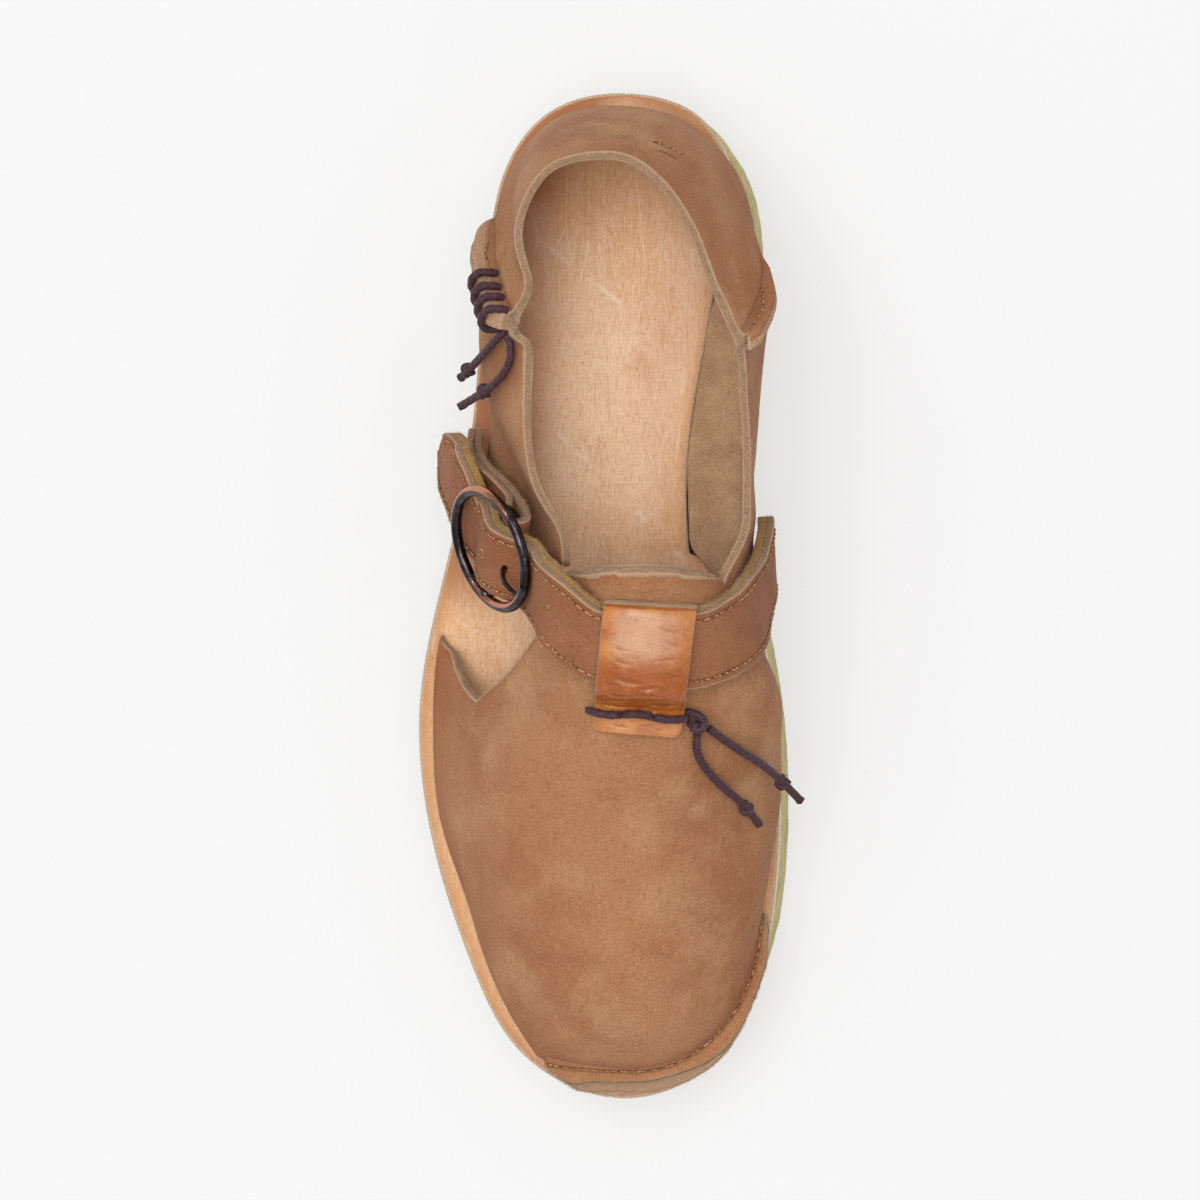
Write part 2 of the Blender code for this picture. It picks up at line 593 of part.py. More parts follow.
def ring_circle(radius, steps, out=0.0):
    turns = np.linspace(0, 2 * math.pi, steps, endpoint=False)
    return [at_ring(radius * math.cos(t), out, radius * math.sin(t)) for t in turns]


def make_buckle(finish):
    """The ring with its dropped bar, and the prong that turns on the bar."""
    ring = tube("buckle_ring", ring_circle(RING_RADIUS, 40), RING_WIRE, finish, closed=True)
    side = RING_RADIUS - 0.6
    bar = [at_ring(0, 0, -side), at_ring(0, -BAR_DROP * 0.75, -side + 0.6), at_ring(0, -BAR_DROP, -side + 2.8),
           at_ring(0, -BAR_DROP, 0), at_ring(0, -BAR_DROP, side - 2.8), at_ring(0, -BAR_DROP * 0.75, side - 0.6),
           at_ring(0, 0, side)]
    join(ring, tube("bar", bar, BAR_RADIUS, helper=True))
    return ring


def make_prong(finish, strap, chape):
    """The prong: an eye round the bar and a pin up through the strap, which rests on the ring."""
    reach = BAR_RADIUS + GAP + PRONG_RADIUS
    turns = np.linspace(0, 2 * math.pi, 14, endpoint=False)
    eye = [at_ring(reach * math.cos(t), -BAR_DROP + reach * math.sin(t), -PRONG_LOW) for t in turns]
    prong = tube("buckle_prong", eye, PRONG_RADIUS, finish, sides=6, closed=True)
    pin = [at_ring(along, out, -PRONG_LOW) for along, out in [(-reach, -BAR_DROP + 0.6), *PRONG_PIN]]
    pin = through(pin, np.linspace(0, 1, 11))
    join(prong, tube("pin", pin, PRONG_RADIUS, helper=True))
    cut(strap, tube("strap_hole", pin[1:7], PRONG_RADIUS + 0.6, helper=True))
    slot = [
        [at_ring(along, out, up - PRONG_LOW) for along, out in ((-5, -9), (5, -9), (5, 9), (-5, 9))]
        for up in (-1.7, 1.7)]
    slot = np.array(slot) - RING_FACING * BAR_DROP
    cut(chape, loft("chape_slot", slot, helper=True))
    return prong


def make_chape(tree, finish):
    """Leather folded round the bar: one band that goes up from the sole, round the bar and back."""
    bar = at_ring(0, -BAR_DROP)
    back = through([bar, *(np.array(place) for place in CHAPE_PATH)], np.linspace(0, 1, 12))
    along = unit(np.gradient(back, axis=0))
    turned = np.linspace(0, 1, 12)[:, None]
    facing = RING_FACING * (1 - turned) + np.array(CHAPE_FACING) * turned
    out = unit(facing - along * (along * facing).sum(1)[:, None])
    wide = np.cross(along, out)
    spread = BAR_RADIUS + GAP + CHAPE_LAYER / 2
    apart = np.interp(np.arange(12), (0, 1, 2), (spread, spread * 0.75, CHAPE_LAYER / 2 + 0.2))
    inner = CHAPE_LAYER + 0.2
    back = clear_of(tree, back - out * inner, out, wide, CHAPE_WIDTH / 2) + out * inner
    path = [(back[i] + out[i] * apart[i], out[i], wide[i]) for i in range(11, 0, -1)]
    for turn in np.linspace(90, 270, 9):
        way = math.cos(math.radians(turn)) * along[0] + math.sin(math.radians(turn)) * out[0]
        path.append((bar + way * spread, way, wide[0]))
    path += [(back[i] - out[i] * apart[i], -out[i], wide[i]) for i in range(1, 12)]
    half = CHAPE_WIDTH / 2
    thin = CHAPE_LAYER / 2
    sections = [
        [m + w * half + o * thin, m - w * half + o * thin, m - w * half - o * thin, m + w * half - o * thin]
        for m, o, w in path]
    sections = np.array(sections)
    sections[..., 2] = np.maximum(sections[..., 2], footbed_top(sections[..., 1].ravel()).reshape(-1, 4) + GAP)
    return loft("chape", sections, finish)


def over(tree, x, y):
    """The point of the upper's top surface above x, y, and the way it faces."""
    place, normal, _, _ = tree.ray_cast(Vector((x, y, 200)), Vector((0, 0, -1)))
    return np.array(place), np.array(normal)


def keeper_place(tree, share, part, height):
    """A point this far off the upper, seen from above at these shares of the keeper's length and width."""
    top = np.array(KEEPER_TOP[0]) * (1 - part) + np.array(KEEPER_TOP[1]) * part
    foot = np.array(KEEPER_FOOT[0]) * (1 - part) + np.array(KEEPER_FOOT[1]) * part
    seen = top * (1 - share) + foot * share
    middle = (np.array(KEEPER_TOP).mean(0) * (1 - share) + np.array(KEEPER_FOOT).mean(0) * share)
    facing = over(tree, *middle)[1]
    place = over(tree, *(seen - facing[:2] * height))[0]
    return place + facing * height


def make_keeper(tree, finish):
    """A leather tab over the strap: rows from its folded top edge to its foot."""
    off = np.array(KEEPER_OFF)
    across = np.linspace(0, 1, 7)
    sections = []
    for share in sorted({*off[:, 0], 0.2, 0.4, 0.93}):
        height = np.interp(share, off[:, 0], off[:, 1])
        low = [keeper_place(tree, share, part, height) for part in across]
        high = [keeper_place(tree, share, part, height + KEEPER_THICKNESS) for part in across]
        sections.append(low + high[::-1])
    return loft("keeper", sections, finish)


def make_keeper_lacing(tree, finish):
    """The cord across the keeper's foot, which comes down to the upper on each side."""
    clear = CORD / 2 + GAP
    on_keeper = KEEPER_OFF[-1][1] + KEEPER_THICKNESS + clear + 0.3
    line = [keeper_place(tree, LACING_SHARE, part, height) for part, height in (
        (-0.09, clear + 0.1), (-0.05, clear + 1.4), (0.02, on_keeper), (0.2, on_keeper), (0.4, on_keeper),
        (0.6, on_keeper), (0.8, on_keeper), (0.92, on_keeper), (1.0, on_keeper - 0.3))]
    return tube("keeper_lacing", through(line, np.linspace(0, 1, 21)), CORD / 2, finish)


def make_heel_lashing(finish):
    """Turns of cord round the outer seam, joined by a run along its root."""
    line, along, side, out, depth = seam_frames(OUTER_SEAM, np.array(LASH_LEVELS))
    wide = SEAM_THICKNESS / 2 + CORD / 2 + GAP
    low = LEATHER / 2 + CORD / 2 + GAP + 1.6
    run = line - side * wide + out * low
    lashing = tube("heel_lashing", through(run, np.linspace(0, 1, 9)), CORD / 2, finish)
    for number in range(0, len(line), 2):
        deep = LEATHER / 2 + depth[number] + CORD / 2 + GAP
        corner = 1.6
        loop = [(-wide, low), (-wide, deep - corner), (-wide + corner * 0.3, deep - corner * 0.3),
                (-wide + corner, deep), (wide - corner, deep), (wide - corner * 0.3, deep - corner * 0.3),
                (wide, deep - corner), (wide, low + 0.4)]
        turn = [line[number] + side[number] * across + out[number] * away for across, away in loop]
        join(lashing, tube(f"turn_{number}", turn, CORD / 2, helper=True))
    return lashing


def make_tail(name, route, finish):
    """The loose end of a cord, along a smooth curve through its route."""
    length = np.linalg.norm(np.diff(route, axis=0), axis=1).sum()
    points = through(route, np.linspace(0, 1, round(length / (2.5 * CORD)) + 1)) * MM
    curve = bpy.data.curves.new(name, "CURVE")
    curve.dimensions = "3D"
    curve.bevel_depth = CORD / 2 * MM
    curve.bevel_resolution = 2
    curve.use_fill_caps = True
    line = curve.splines.new("POLY")
    line.points.add(len(points) - 1)
    for point, place in zip(line.points, points):
        point.co = (*place, 1)
    curve.materials.append(finish)
    made = bpy.data.objects.new(name, curve)
    bpy.context.scene.collection.objects.link(made)
    return made


def make_knot(name, middle, finish):
    """The lump of a knot."""
    turns = [(math.sin(a), math.cos(a)) for a in np.linspace(0.25, math.pi - 0.25, 6)]
    rounds = np.linspace(0, 2 * math.pi, 10, endpoint=False)
    sections = [
        [np.array(middle) + np.array((KNOT[0] * r * math.cos(t), KNOT[1] * r * math.sin(t), KNOT[2] * h))
         for t in rounds] for r, h in turns]
    return loft(name, sections, finish)


def main():
    for old in list(bpy.data.objects):
        bpy.data.objects.remove(old, do_unlink=True)
    crepe = material("crepe", (0.52, 0.46, 0.27), 0.9)
    board = material("board", (0.80, 0.72, 0.58), 0.8)
    footbed = material("footbed_leather", (0.68, 0.45, 0.28), 0.5)
    nubuck = material("nubuck", (0.40, 0.20, 0.10), 0.85)
    sole_plate("footbed", footbed, lambda y: footbed_top(y) - FOOTBED, footbed_top, cut_in=ARCH_CUT)
    sole_plate("midsole", board, lambda y: footbed_top(y) - FOOTBED - MIDSOLE + GAP / 2,
               lambda y: footbed_top(y) - FOOTBED - GAP)
    sole_plate("outsole", crepe, lambda y: underside(y).reshape(-1),
               lambda y: footbed_top(y) - FOOTBED - MIDSOLE - GAP / 2, flare=(1.0, 2.2))
    upper = make_upper(nubuck)
    tree = surface_of(upper)
    metal = material("gunmetal", (0.10, 0.08, 0.08), 0.3, 1.0)
    make_buckle(metal)
    chape = make_chape(tree, nubuck)
    strap = make_strap(tree, surface_of(upper, chape), nubuck)
    make_prong(metal, strap, chape)
    tan = material("tan_leather", (0.62, 0.30, 0.11), 0.35)
    make_keeper(tree, tan)
    cord = material("cord", (0.06, 0.03, 0.04), 0.7)
    make_keeper_lacing(tree, cord)
    make_heel_lashing(cord)
    make_knot("keeper_knot", KEEPER_KNOT, cord)
    make_tail("keeper_tail_a", KEEPER_TAIL_A, cord)
    make_tail("keeper_tail_b", KEEPER_TAIL_B, cord)
    make_tail("lash_tail_a", LASH_TAIL_A, cord)
    make_tail("lash_tail_b", LASH_TAIL_B, cord)


main()
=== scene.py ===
"""The looks of a right foot's leather sandal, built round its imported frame.

The tables and the functions on them are the part's own, in millimetres. Each piece stands for the nodes that
its call of finish_piece or cord_piece names. +X is the inner side of the foot, -Y the toe, +Z up.
"""

import math

import bpy
import numpy as np
from mathutils import Matrix, Vector
from mathutils.bvhtree import BVHTree
from mathutils.kdtree import KDTree

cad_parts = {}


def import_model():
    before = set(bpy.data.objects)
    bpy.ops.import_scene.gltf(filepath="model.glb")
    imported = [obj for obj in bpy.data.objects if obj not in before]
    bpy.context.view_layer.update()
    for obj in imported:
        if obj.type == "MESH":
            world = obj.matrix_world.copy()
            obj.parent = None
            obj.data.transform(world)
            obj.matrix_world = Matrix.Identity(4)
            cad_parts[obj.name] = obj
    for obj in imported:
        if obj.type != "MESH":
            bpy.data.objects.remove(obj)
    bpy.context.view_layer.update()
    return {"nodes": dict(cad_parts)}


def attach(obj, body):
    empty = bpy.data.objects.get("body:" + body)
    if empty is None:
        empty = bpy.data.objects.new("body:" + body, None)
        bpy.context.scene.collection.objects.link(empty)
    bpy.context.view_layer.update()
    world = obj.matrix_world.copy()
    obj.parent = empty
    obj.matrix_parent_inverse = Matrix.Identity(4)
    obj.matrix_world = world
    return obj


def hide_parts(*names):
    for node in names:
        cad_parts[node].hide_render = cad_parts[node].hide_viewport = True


MM = 0.001
GAP = 0.35  # between pieces that lie on each other
LEATHER = 2.6
FOOTBED = 4.0
MIDSOLE = 2.0
STRAP_WIDTH = 21.0
CORD = 2.2
# Outline of the footbed, from the back of the heel along the inner side to the toe and back: x, y
OUTLINE = [
    (8, 141.5), (28, 135.5), (39.5, 121.5), (44.3, 101), (43.4, 80), (40.8, 58), (39.4, 36), (41.6, 14),
    (46.2, -12), (49.8, -38), (50.6, -62), (48.9, -86), (44.4, -108), (35.5, -126), (22, -136.2),
    (7, -139.5), (-9, -135.8), (-23.5, -125.5), (-36.2, -102.5), (-44.7, -78), (-50, -52), (-50.6, -28),
    (-46.4, -4), (-40.5, 20), (-36, 44), (-33.4, 70), (-30.6, 98), (-26, 120.5), (-14, 136.2)]
# Side view of the sole: y, footbed's top, outsole's underside
SOLE_SIDE = [
    (-145, 26.5, 10.0), (-130, 23.2, 5.2), (-110, 20.6, 1.8), (-90, 19.8, 0.5), (-70, 19.8, 0.0),
    (-30, 21.2, 0.0), (10, 24.0, 0.0), (50, 26.6, 0.0), (100, 28.0, 0.0), (145, 28.5, 0.0)]
FLAT_UNTIL = -74.0  # forward of this the underside rises
# Where the footbed is cut in along the arch, so that the upper passes outside it: y, inset
ARCH_CUT = [(105, 0.0), (98.5, 9.0), (86, 12.6), (70, 13.6), (43, 15.4), (15.5, 17.4), (9.5, 5.8), (5.5, 0.0)]
# Quarters and heel, a row for each rib from the outer front edge round the heel to the inner front:
# outline share, foot inset, share of the footbed that the foot is sunk, knee inset, knee height, belly,
# collar x, y, z
QUARTER = [
    (0.786, 7.6, 0, 8.0, 9.0, -1.5, -6.7, 10.0, 68.0),
    (0.806, 7.2, 0, 7.4, 9.0, -1.5, -8.3, 19.9, 69.0),
    (0.826, 6.4, 0, 6.6, 9.0, -0.5, -13.7, 29.5, 70.0),
    (0.848, 3.4, 0, 3.2, 9.0, 2.0, -17.2, 45.0, 70.0),
    (0.870, 1.9, 0, 1.5, 9.0, 3.2, -16.9, 62.0, 70.0),
    (0.890, 2.0, 0, 1.6, 9.0, 3.4, -18.0, 69.5, 70.3),
    (0.908, 2.6, 0, 3.0, 9.0, 1.4, -20.5, 75.0, 70.5),
    (0.920, 2.8, 0, 3.2, 9.0, 1.6, -17.4, 82.0, 71.5),
    (0.935, 3.4, 0, 3.8, 9.0, 1.2, -17.2, 89.5, 73.0),
    (0.950, 4.2, 0, 4.6, 9.0, 1.4, -18.7, 99.5, 75.5),
    (0.966, 4.8, 0, 5.0, 9.0, 2.0, -13.6, 112.0, 78.0),
    (0.983, 5.6, 0, 6.0, 9.0, 2.0, -5.5, 117.5, 79.7),
    (1.000, 5.8, 0, 6.4, 9.0, 2.0, 3.5, 118.8, 80.0),
    (1.020, 5.6, 0, 6.2, 9.0, 2.0, 12.5, 117.2, 80.0),
    (1.040, 5.0, 0, 5.4, 9.0, 2.0, 21.0, 110.5, 79.0),
    (1.056, 3.8, 0, 4.2, 9.0, 2.0, 26.8, 102.5, 77.0),
    (1.071, 2.6, 0, 3.0, 9.0, 2.4, 31.2, 93.0, 75.0),
    (1.083, 2.2, 0, 2.2, 9.0, 3.2, 35.5, 80.8, 72.7),
    (1.093, 2.4, 0.0, 1.8, 9.0, 3.6, 40.3, 69.0, 71.0),
    (1.098, 4.6, 0.0, 1.6, 7.0, 3.4, 40.7, 67.0, 70.7),
    (1.104, 7.0, 1.0, 1.4, 4.5, 3.0, 41.0, 64.5, 70.5),
    (1.120, 11.0, 1.0, 1.0, 1.8, 2.2, 41.3, 58.0, 70.1),
    (1.145, 12.6, 1.0, 0.7, 1.5, 1.8, 41.8, 49.0, 69.8),
    (1.170, 13.6, 1.0, 0.4, 1.4, 1.8, 42.2, 39.5, 69.2),
    (1.198, 14.4, 1.0, 0.6, 1.4, 1.2, 42.2, 27.0, 68.7),
    (1.212, 14.8, 1.0, 0.8, 1.6, 1.0, 42.1, 20.5, 68.5),
    (1.222, 14.6, -0.10, 1.2, 3.0, 0.8, 41.9, 16.0, 68.3),
    (1.234, 10.0, -0.35, 1.8, 5.0, 0.8, 41.6, 11.0, 68.1),
    (1.255, 3.0, -0.15, 2.8, 9.0, 0.8, 40.8, 3.0, 68.0)]
# Vamp and tongue, a row for each section from the tongue's edge to the toe seam:
# ridge x, y, z, inner base x, y, outer base x, y, inner slope, outer slope, inner belly, outer dip
VAMP = [
    (14.0, 7.3, 87.0, 42.2, -4.0, -43.2, -5.0, 0.45, 1.00, 0.6, 18.0),
    (14.0, -10.0, 80.5, 44.8, -14.0, -44.8, -17.0, 0.45, 0.96, 0.8, 10.0),
    (13.5, -28.0, 73.5, 47.8, -26.0, -45.6, -31.0, 0.46, 0.86, 4.6, 5.0),
    (12.5, -47.0, 66.5, 48.6, -38.0, -45.4, -47.0, 0.47, 0.72, 3.0, 2.0),
    (11.5, -67.0, 59.0, 48.4, -50.0, -43.0, -64.0, 0.48, 0.62, 2.8, 0.5),
    (10.5, -87.0, 53.5, 47.6, -61.0, -36.8, -82.0, 0.48, 0.56, 2.0, 0.0),
    (10.0, -104.0, 47.5, 46.4, -70.0, -32.0, -97.0, 0.47, 0.52, 1.2, 0.0),
    (10.0, -118.0, 40.5, 45.2, -77.0, -26.5, -110.0, 0.46, 0.50, 0.5, 0.0),
    (10.0, -126.5, 33.0, 44.6, -81.5, -21.0, -119.6, 0.45, 0.48, 0.0, 0.0),
    (10.0, -130.2, 26.6, 44.4, -84.5, -16.6, -126.6, 0.45, 0.46, 0.0, 0.0)]
# The outer opening, between tongue and sole: row of the vamp, angle of the tongue's edge from the ridge
TONGUE_EDGE = [(0.0, 20.5), (0.5, 24.5), (1.0, 31.0), (1.5, 40.0), (1.85, 50.5)]
WING_EDGE = [(0.45, 68.0), (1.0, 63.0), (1.5, 57.0), (1.85, 50.5)]
WING_SLANT = 0.45  # rows by which the wing's inner corner is lower than its foot
LEAN_LIFT = 0.04  # of the dip, by which a leaning wall's foot is raised off the footbed
# Seams that stand proud of the wall
SEAM_DEPTH = 5.8
OUTER_SEAM = 0.908
INNER_SEAM = 1.093
TOE_SEAM_DEPTH = 5.6
SEAM_STANDS = ((0.0, 0.38, 0.6, 1.0), (0.02, 0.05, 1.0, 1.0))  # levels from the foot, shares of the depth
# Middle of the strap's inner face where it leaves the inner side of the sole: x, y, z
STRAP_RISE = [(44.8, 13.5, 27.2), (45.0, 9.5, 36.0)]
# and of its outer face where it lies on the upper
STRAP_LAID = [
    (46.0, 2.5, 49.0), (46.0, -3.5, 61.0), (40.1, -10.0, 74.0), (34.4, -13.0, 80.0), (28.0, -14.2, 83.0),
    (14.0, -14.0, 84.0), (2.7, -11.0, 81.0)]
# and of its inner face between the upper and the ring, with the way that it faces
STRAP_FREE = [(-7.1, -1.6, 77.0, -0.42, -0.50, 0.76)]
# and through the ring: along the strap and out from the middle of the ring
STRAP_BUCKLED = [(-15.5, -7.4), (-8.0, -6.6), (0.0, -3.4), (8.0, -7.6), (15.5, -8.8)]
STRAP_LOW = 2.5  # the strap sits this far to one side of the ring's middle
# and of its free end, with the way that it faces
STRAP_END = [
    (-31.9, 26.6, 51.5, -0.86, -0.20, 0.47), (-34.2, 34.0, 45.5, -0.84, -0.20, 0.50),
    (-36.2, 41.0, 40.5, -0.84, -0.18, 0.50), (-37.2, 43.6, 38.6, -0.84, -0.18, 0.50)]
# The ring: its middle, the direction that it faces and the direction of the strap through it
RING_CENTRE = np.array((-26.9, 13.7, 66.3))
RING_FACING = np.array((-0.781, -0.295, 0.55))
STRAP_THROUGH = np.array((-0.607, 0.565, -0.559))
RING_RADIUS = 16.2
RING_WIRE = 1.8
BAR_DROP = 7.6
BAR_RADIUS = 1.5
PRONG_RADIUS = 0.95
PRONG_LOW = 2.0  # the prong sits this far to one side of the ring's middle
PRONG_PIN = [(-4.6, -3.6), (-8.0, 1.2), (-11.8, 3.2), (-16.8, 3.2)]  # along the strap and out from the ring
CHAPE_WIDTH = 19.0
CHAPE_LAYER = 2.0
CHAPE_PATH = [(-22.8, 23.2, 53.4), (-29.6, 32.0, 42.0), (-34.9, 39.5, 30.0)]
CHAPE_FACING = (-0.94, -0.02, 0.34)  # at its foot
# The keeper: its four corners seen from above, x, y, and at shares of its length its height off the upper
KEEPER_TOP = ((5.0, 0.2), (29.2, -1.3))
KEEPER_FOOT = ((1.0, -34.4), (24.6, -36.4))
KEEPER_OFF = [
    (0.00, 0.7), (0.01, 3.8), (0.035, 6.3), (0.09, 7.1), (0.30, 7.1), (0.50, 7.0), (0.66, 6.7), (0.71, 5.6),
    (0.75, 3.0), (0.79, 1.2), (0.86, 0.5), (1.00, 0.5)]
KEEPER_THICKNESS = 2.0
LACING_SHARE = 0.87  # of the keeper's length, where the cord crosses it
LASH_LEVELS = np.linspace(0.655, 0.975, 7)  # up the outer seam; a turn of cord at every other
# Loose ends of the cords: x, y, z
KEEPER_KNOT = (29.4, -32.5, 71.5)
KEEPER_TAIL_A = [
    (32.0, -34.5, 68.9), (38.2, -39.3, 62.0), (44.9, -43.9, 53.2), (50.5, -48.9, 44.0), (56.5, -55.4, 37.0)]
KEEPER_TAIL_B = [
    (29.0, -35.9, 70.0), (28.8, -40.2, 68.4), (31.0, -45.2, 65.2), (35.2, -50.2, 60.4), (41.0, -55.7, 53.2),
    (45.2, -61.4, 46.8)]
LASH_TAIL_A = [(-24.6, 71.0, 66.0), (-27.2, 68.9, 61.8), (-31.6, 65.4, 52.5), (-37.0, 61.4, 43.0)]
LASH_TAIL_B = [
    (-21.9, 70.4, 69.6), (-21.2, 67.0, 69.8), (-22.2, 62.8, 68.0), (-25.6, 58.9, 63.6), (-31.0, 56.0, 54.0),
    (-36.8, 53.4, 45.0)]


def spline(knots, values, at):
    """A natural cubic spline through values, one row for each knot, read at the points at."""
    knots = np.asarray(knots, float)
    values = np.asarray(values, float).reshape(len(knots), -1)
    step = np.diff(knots)
    count = len(knots)
    matrix = np.eye(count)
    change = np.zeros_like(values)
    for i in range(1, count - 1):
        matrix[i, i - 1 : i + 2] = step[i - 1], 2 * (step[i - 1] + step[i]), step[i]
        after = (values[i + 1] - values[i]) / step[i]
        before = (values[i] - values[i - 1]) / step[i - 1]
        change[i] = 6 * (after - before)
    bend = np.linalg.solve(matrix, change)
    at = np.clip(np.atleast_1d(np.asarray(at, float)), knots[0], knots[-1])
    i = np.clip(np.searchsorted(knots, at, side="right") - 1, 0, count - 2)
    width = step[i][:, None]
    a = (knots[i + 1] - at)[:, None] / width
    b = 1 - a
    curve = ((a**3 - a) * bend[i] + (b**3 - b) * bend[i + 1]) * width**2 / 6
    return a * values[i] + b * values[i + 1] + curve


def distances(points):
    """How far along a line each of its points is."""
    return np.concatenate([[0], np.cumsum(np.linalg.norm(np.diff(points, axis=0), axis=1))])


def lengths(points):
    """The share of the whole length at each point of a line."""
    run = distances(points)
    return run / run[-1]


def read_at(at, run, rows):
    """Rows that stand at the places run, read at the places at."""
    return np.stack([np.interp(at, run, column) for column in np.transpose(rows)], -1)


def through(points, shares):
    """Points at these shares of the length of a smooth curve through points."""
    return spline(lengths(points), points, shares)


def unit(vector):
    """The direction of a vector, or of each row of them."""
    vector = np.asarray(vector, float)
    return vector / np.linalg.norm(vector, axis=-1, keepdims=True)


def smooth_ring(points, count=1200, overlap=4):
    """The closed outline as count evenly spaced points, and the outward direction at each."""
    points = np.asarray(points, float)
    ring = np.concatenate([points[-overlap:], points, points[: overlap + 1]])
    run = distances(ring)
    fine = spline(run, ring, np.linspace(run[overlap], run[overlap + len(points)], 4 * count))
    length = distances(fine)
    ring = read_at(np.linspace(0, length[-1], count + 1)[:-1], length, fine)
    along = unit(np.roll(ring, -1, 0) - np.roll(ring, 1, 0))
    return ring, np.stack([-along[:, 1], along[:, 0]], 1)


RING, OUTWARD = smooth_ring(OUTLINE)
BAR_UP = np.cross(STRAP_THROUGH, RING_FACING)


def edge(share, inset=0.0):
    """The point inset from the footbed's outline at this share of its length, and outward there."""
    share = np.atleast_1d(np.asarray(share, float)) % 1.0
    place = share * len(RING)
    low = np.floor(place).astype(int) % len(RING)
    high = (low + 1) % len(RING)
    part = (place - np.floor(place))[:, None]
    outward = unit(OUTWARD[low] * (1 - part) + OUTWARD[high] * part)
    point = RING[low] * (1 - part) + RING[high] * part
    return point - outward * np.broadcast_to(inset, len(share))[:, None], outward


def footbed_top(y):
    """How high the footbed is here."""
    side = np.array(SOLE_SIDE)
    return spline(side[:, 0], side[:, 1], y)[:, 0]


def underside(y):
    """How high the outsole's underside is here."""
    side = np.array(SOLE_SIDE)
    rise = np.interp(y, side[:, 0], side[:, 2])
    return np.where(np.asarray(y) > FLAT_UNTIL, 0.0, rise)


def rib(row, levels):
    """One rib of the quarter from its foot to the collar, at these levels from 0 to 1."""
    share, foot_in, sunk, knee_in, knee_up, belly, x, y, z = row
    foot, outward = edge(share, foot_in)
    knee = edge(share, knee_in)[0][0]
    ground = footbed_top(foot[:, 1])[0]
    foot_z = ground + GAP + 0.25 - np.clip(sunk, -0.4, 1) * (FOOTBED - LEATHER / 2)
    foot = np.array([*foot[0], foot_z])
    knee = np.array([*knee, foot_z + knee_up])
    collar = np.array([x, y, z])
    middle = (knee + collar) / 2 + np.array([*outward[0], 0.25]) * belly
    return through([foot, knee, middle, collar], levels)


def vamp_point(row, angle):
    """The vamp at this row, and at this angle from its ridge in degrees, positive to the inner side."""
    table = np.array(VAMP)
    rx, ry, rz, ix, iy, ox, oy, inner, outer, belly, dip = spline(range(len(table)), table, row)[0]
    across = math.sin(math.radians(abs(angle)))
    slope, x, y = (inner, ix, iy) if angle > 0 else (outer, ox, oy)
    up = max(1e-9, 1 - across * across) ** slope
    base = footbed_top(y)[0] + GAP + 0.25
    z = base + (rz - base) * up
    if angle > 0:
        x += belly * math.sin(math.pi * up)
    else:
        z += (LEAN_LIFT * (1 - up) - math.sin(2 * math.radians(abs(angle))) ** 2) * dip
    return np.array([rx + (x - rx) * across, y + (ry - y) * up, z])


def seam_frames(share, levels):
    """Along a rib of the quarter: places on the wall's middle, ways along it and out from it, the seam's depth."""
    table = np.array(QUARTER)
    row = spline(table[:, 0], table, share)[0]
    row[0] = share
    line = rib(row, levels)
    spots = np.linspace(0, 1, 41)
    along = unit(read_at(levels, spots, unit(np.gradient(rib(row, spots), axis=0))))
    flat = np.array([*edge(share)[1][0], 0.0])
    side = unit(np.cross(flat, along))
    out = unit(np.cross(along, side))
    out = out if out[0] @ flat > 0 else -out
    return line, along, side, out, SEAM_DEPTH * np.interp(levels, *SEAM_STANDS)


def clear_of(tree, middle, out, wide, half):
    """The steps of a band, moved out where its inner face would come within GAP of a surface."""
    need = np.zeros(len(middle))
    reach = 9.0
    for i, (place, way, across) in enumerate(zip(middle, out, wide)):
        for part in np.linspace(-half, half, 7):
            start = place + across * part + way * reach
            hit = tree.ray_cast(Vector(start), Vector(-way), reach + 5)
            if hit[0]:
                need[i] = max(need[i], reach - hit[3] + GAP + 0.1)
    padded = np.pad(need, 2, mode="edge")
    widest = np.array([padded[i : i + 5].max() for i in range(len(need))])
    padded = np.pad(widest, 1, mode="edge")
    even = (padded[:-2] + padded[1:-1] + padded[2:]) / 3
    return middle + out * np.maximum(even, need)[:, None]


def pushed_clear(tree, inside, out, wide, half, coarse, soft):
    """How far each step of a band moves out to clear a surface, tried at the coarse steps and evened over soft."""
    moved = clear_of(tree, inside[coarse], out[coarse], wide[coarse], half)
    push = ((moved - inside[coarse]) * out[coarse]).sum(1)
    push = np.interp(np.arange(len(out)), coarse, push)
    window = 2 * soft + 1
    return np.convolve(np.pad(push, soft, mode="edge"), np.ones(window) / window, mode="valid")[:, None]


def at_ring(along, out, up=0.0):
    """A place measured from the middle of the ring, along the strap, out of the ring and up its bar."""
    return RING_CENTRE + STRAP_THROUGH * along + RING_FACING * out + BAR_UP * up


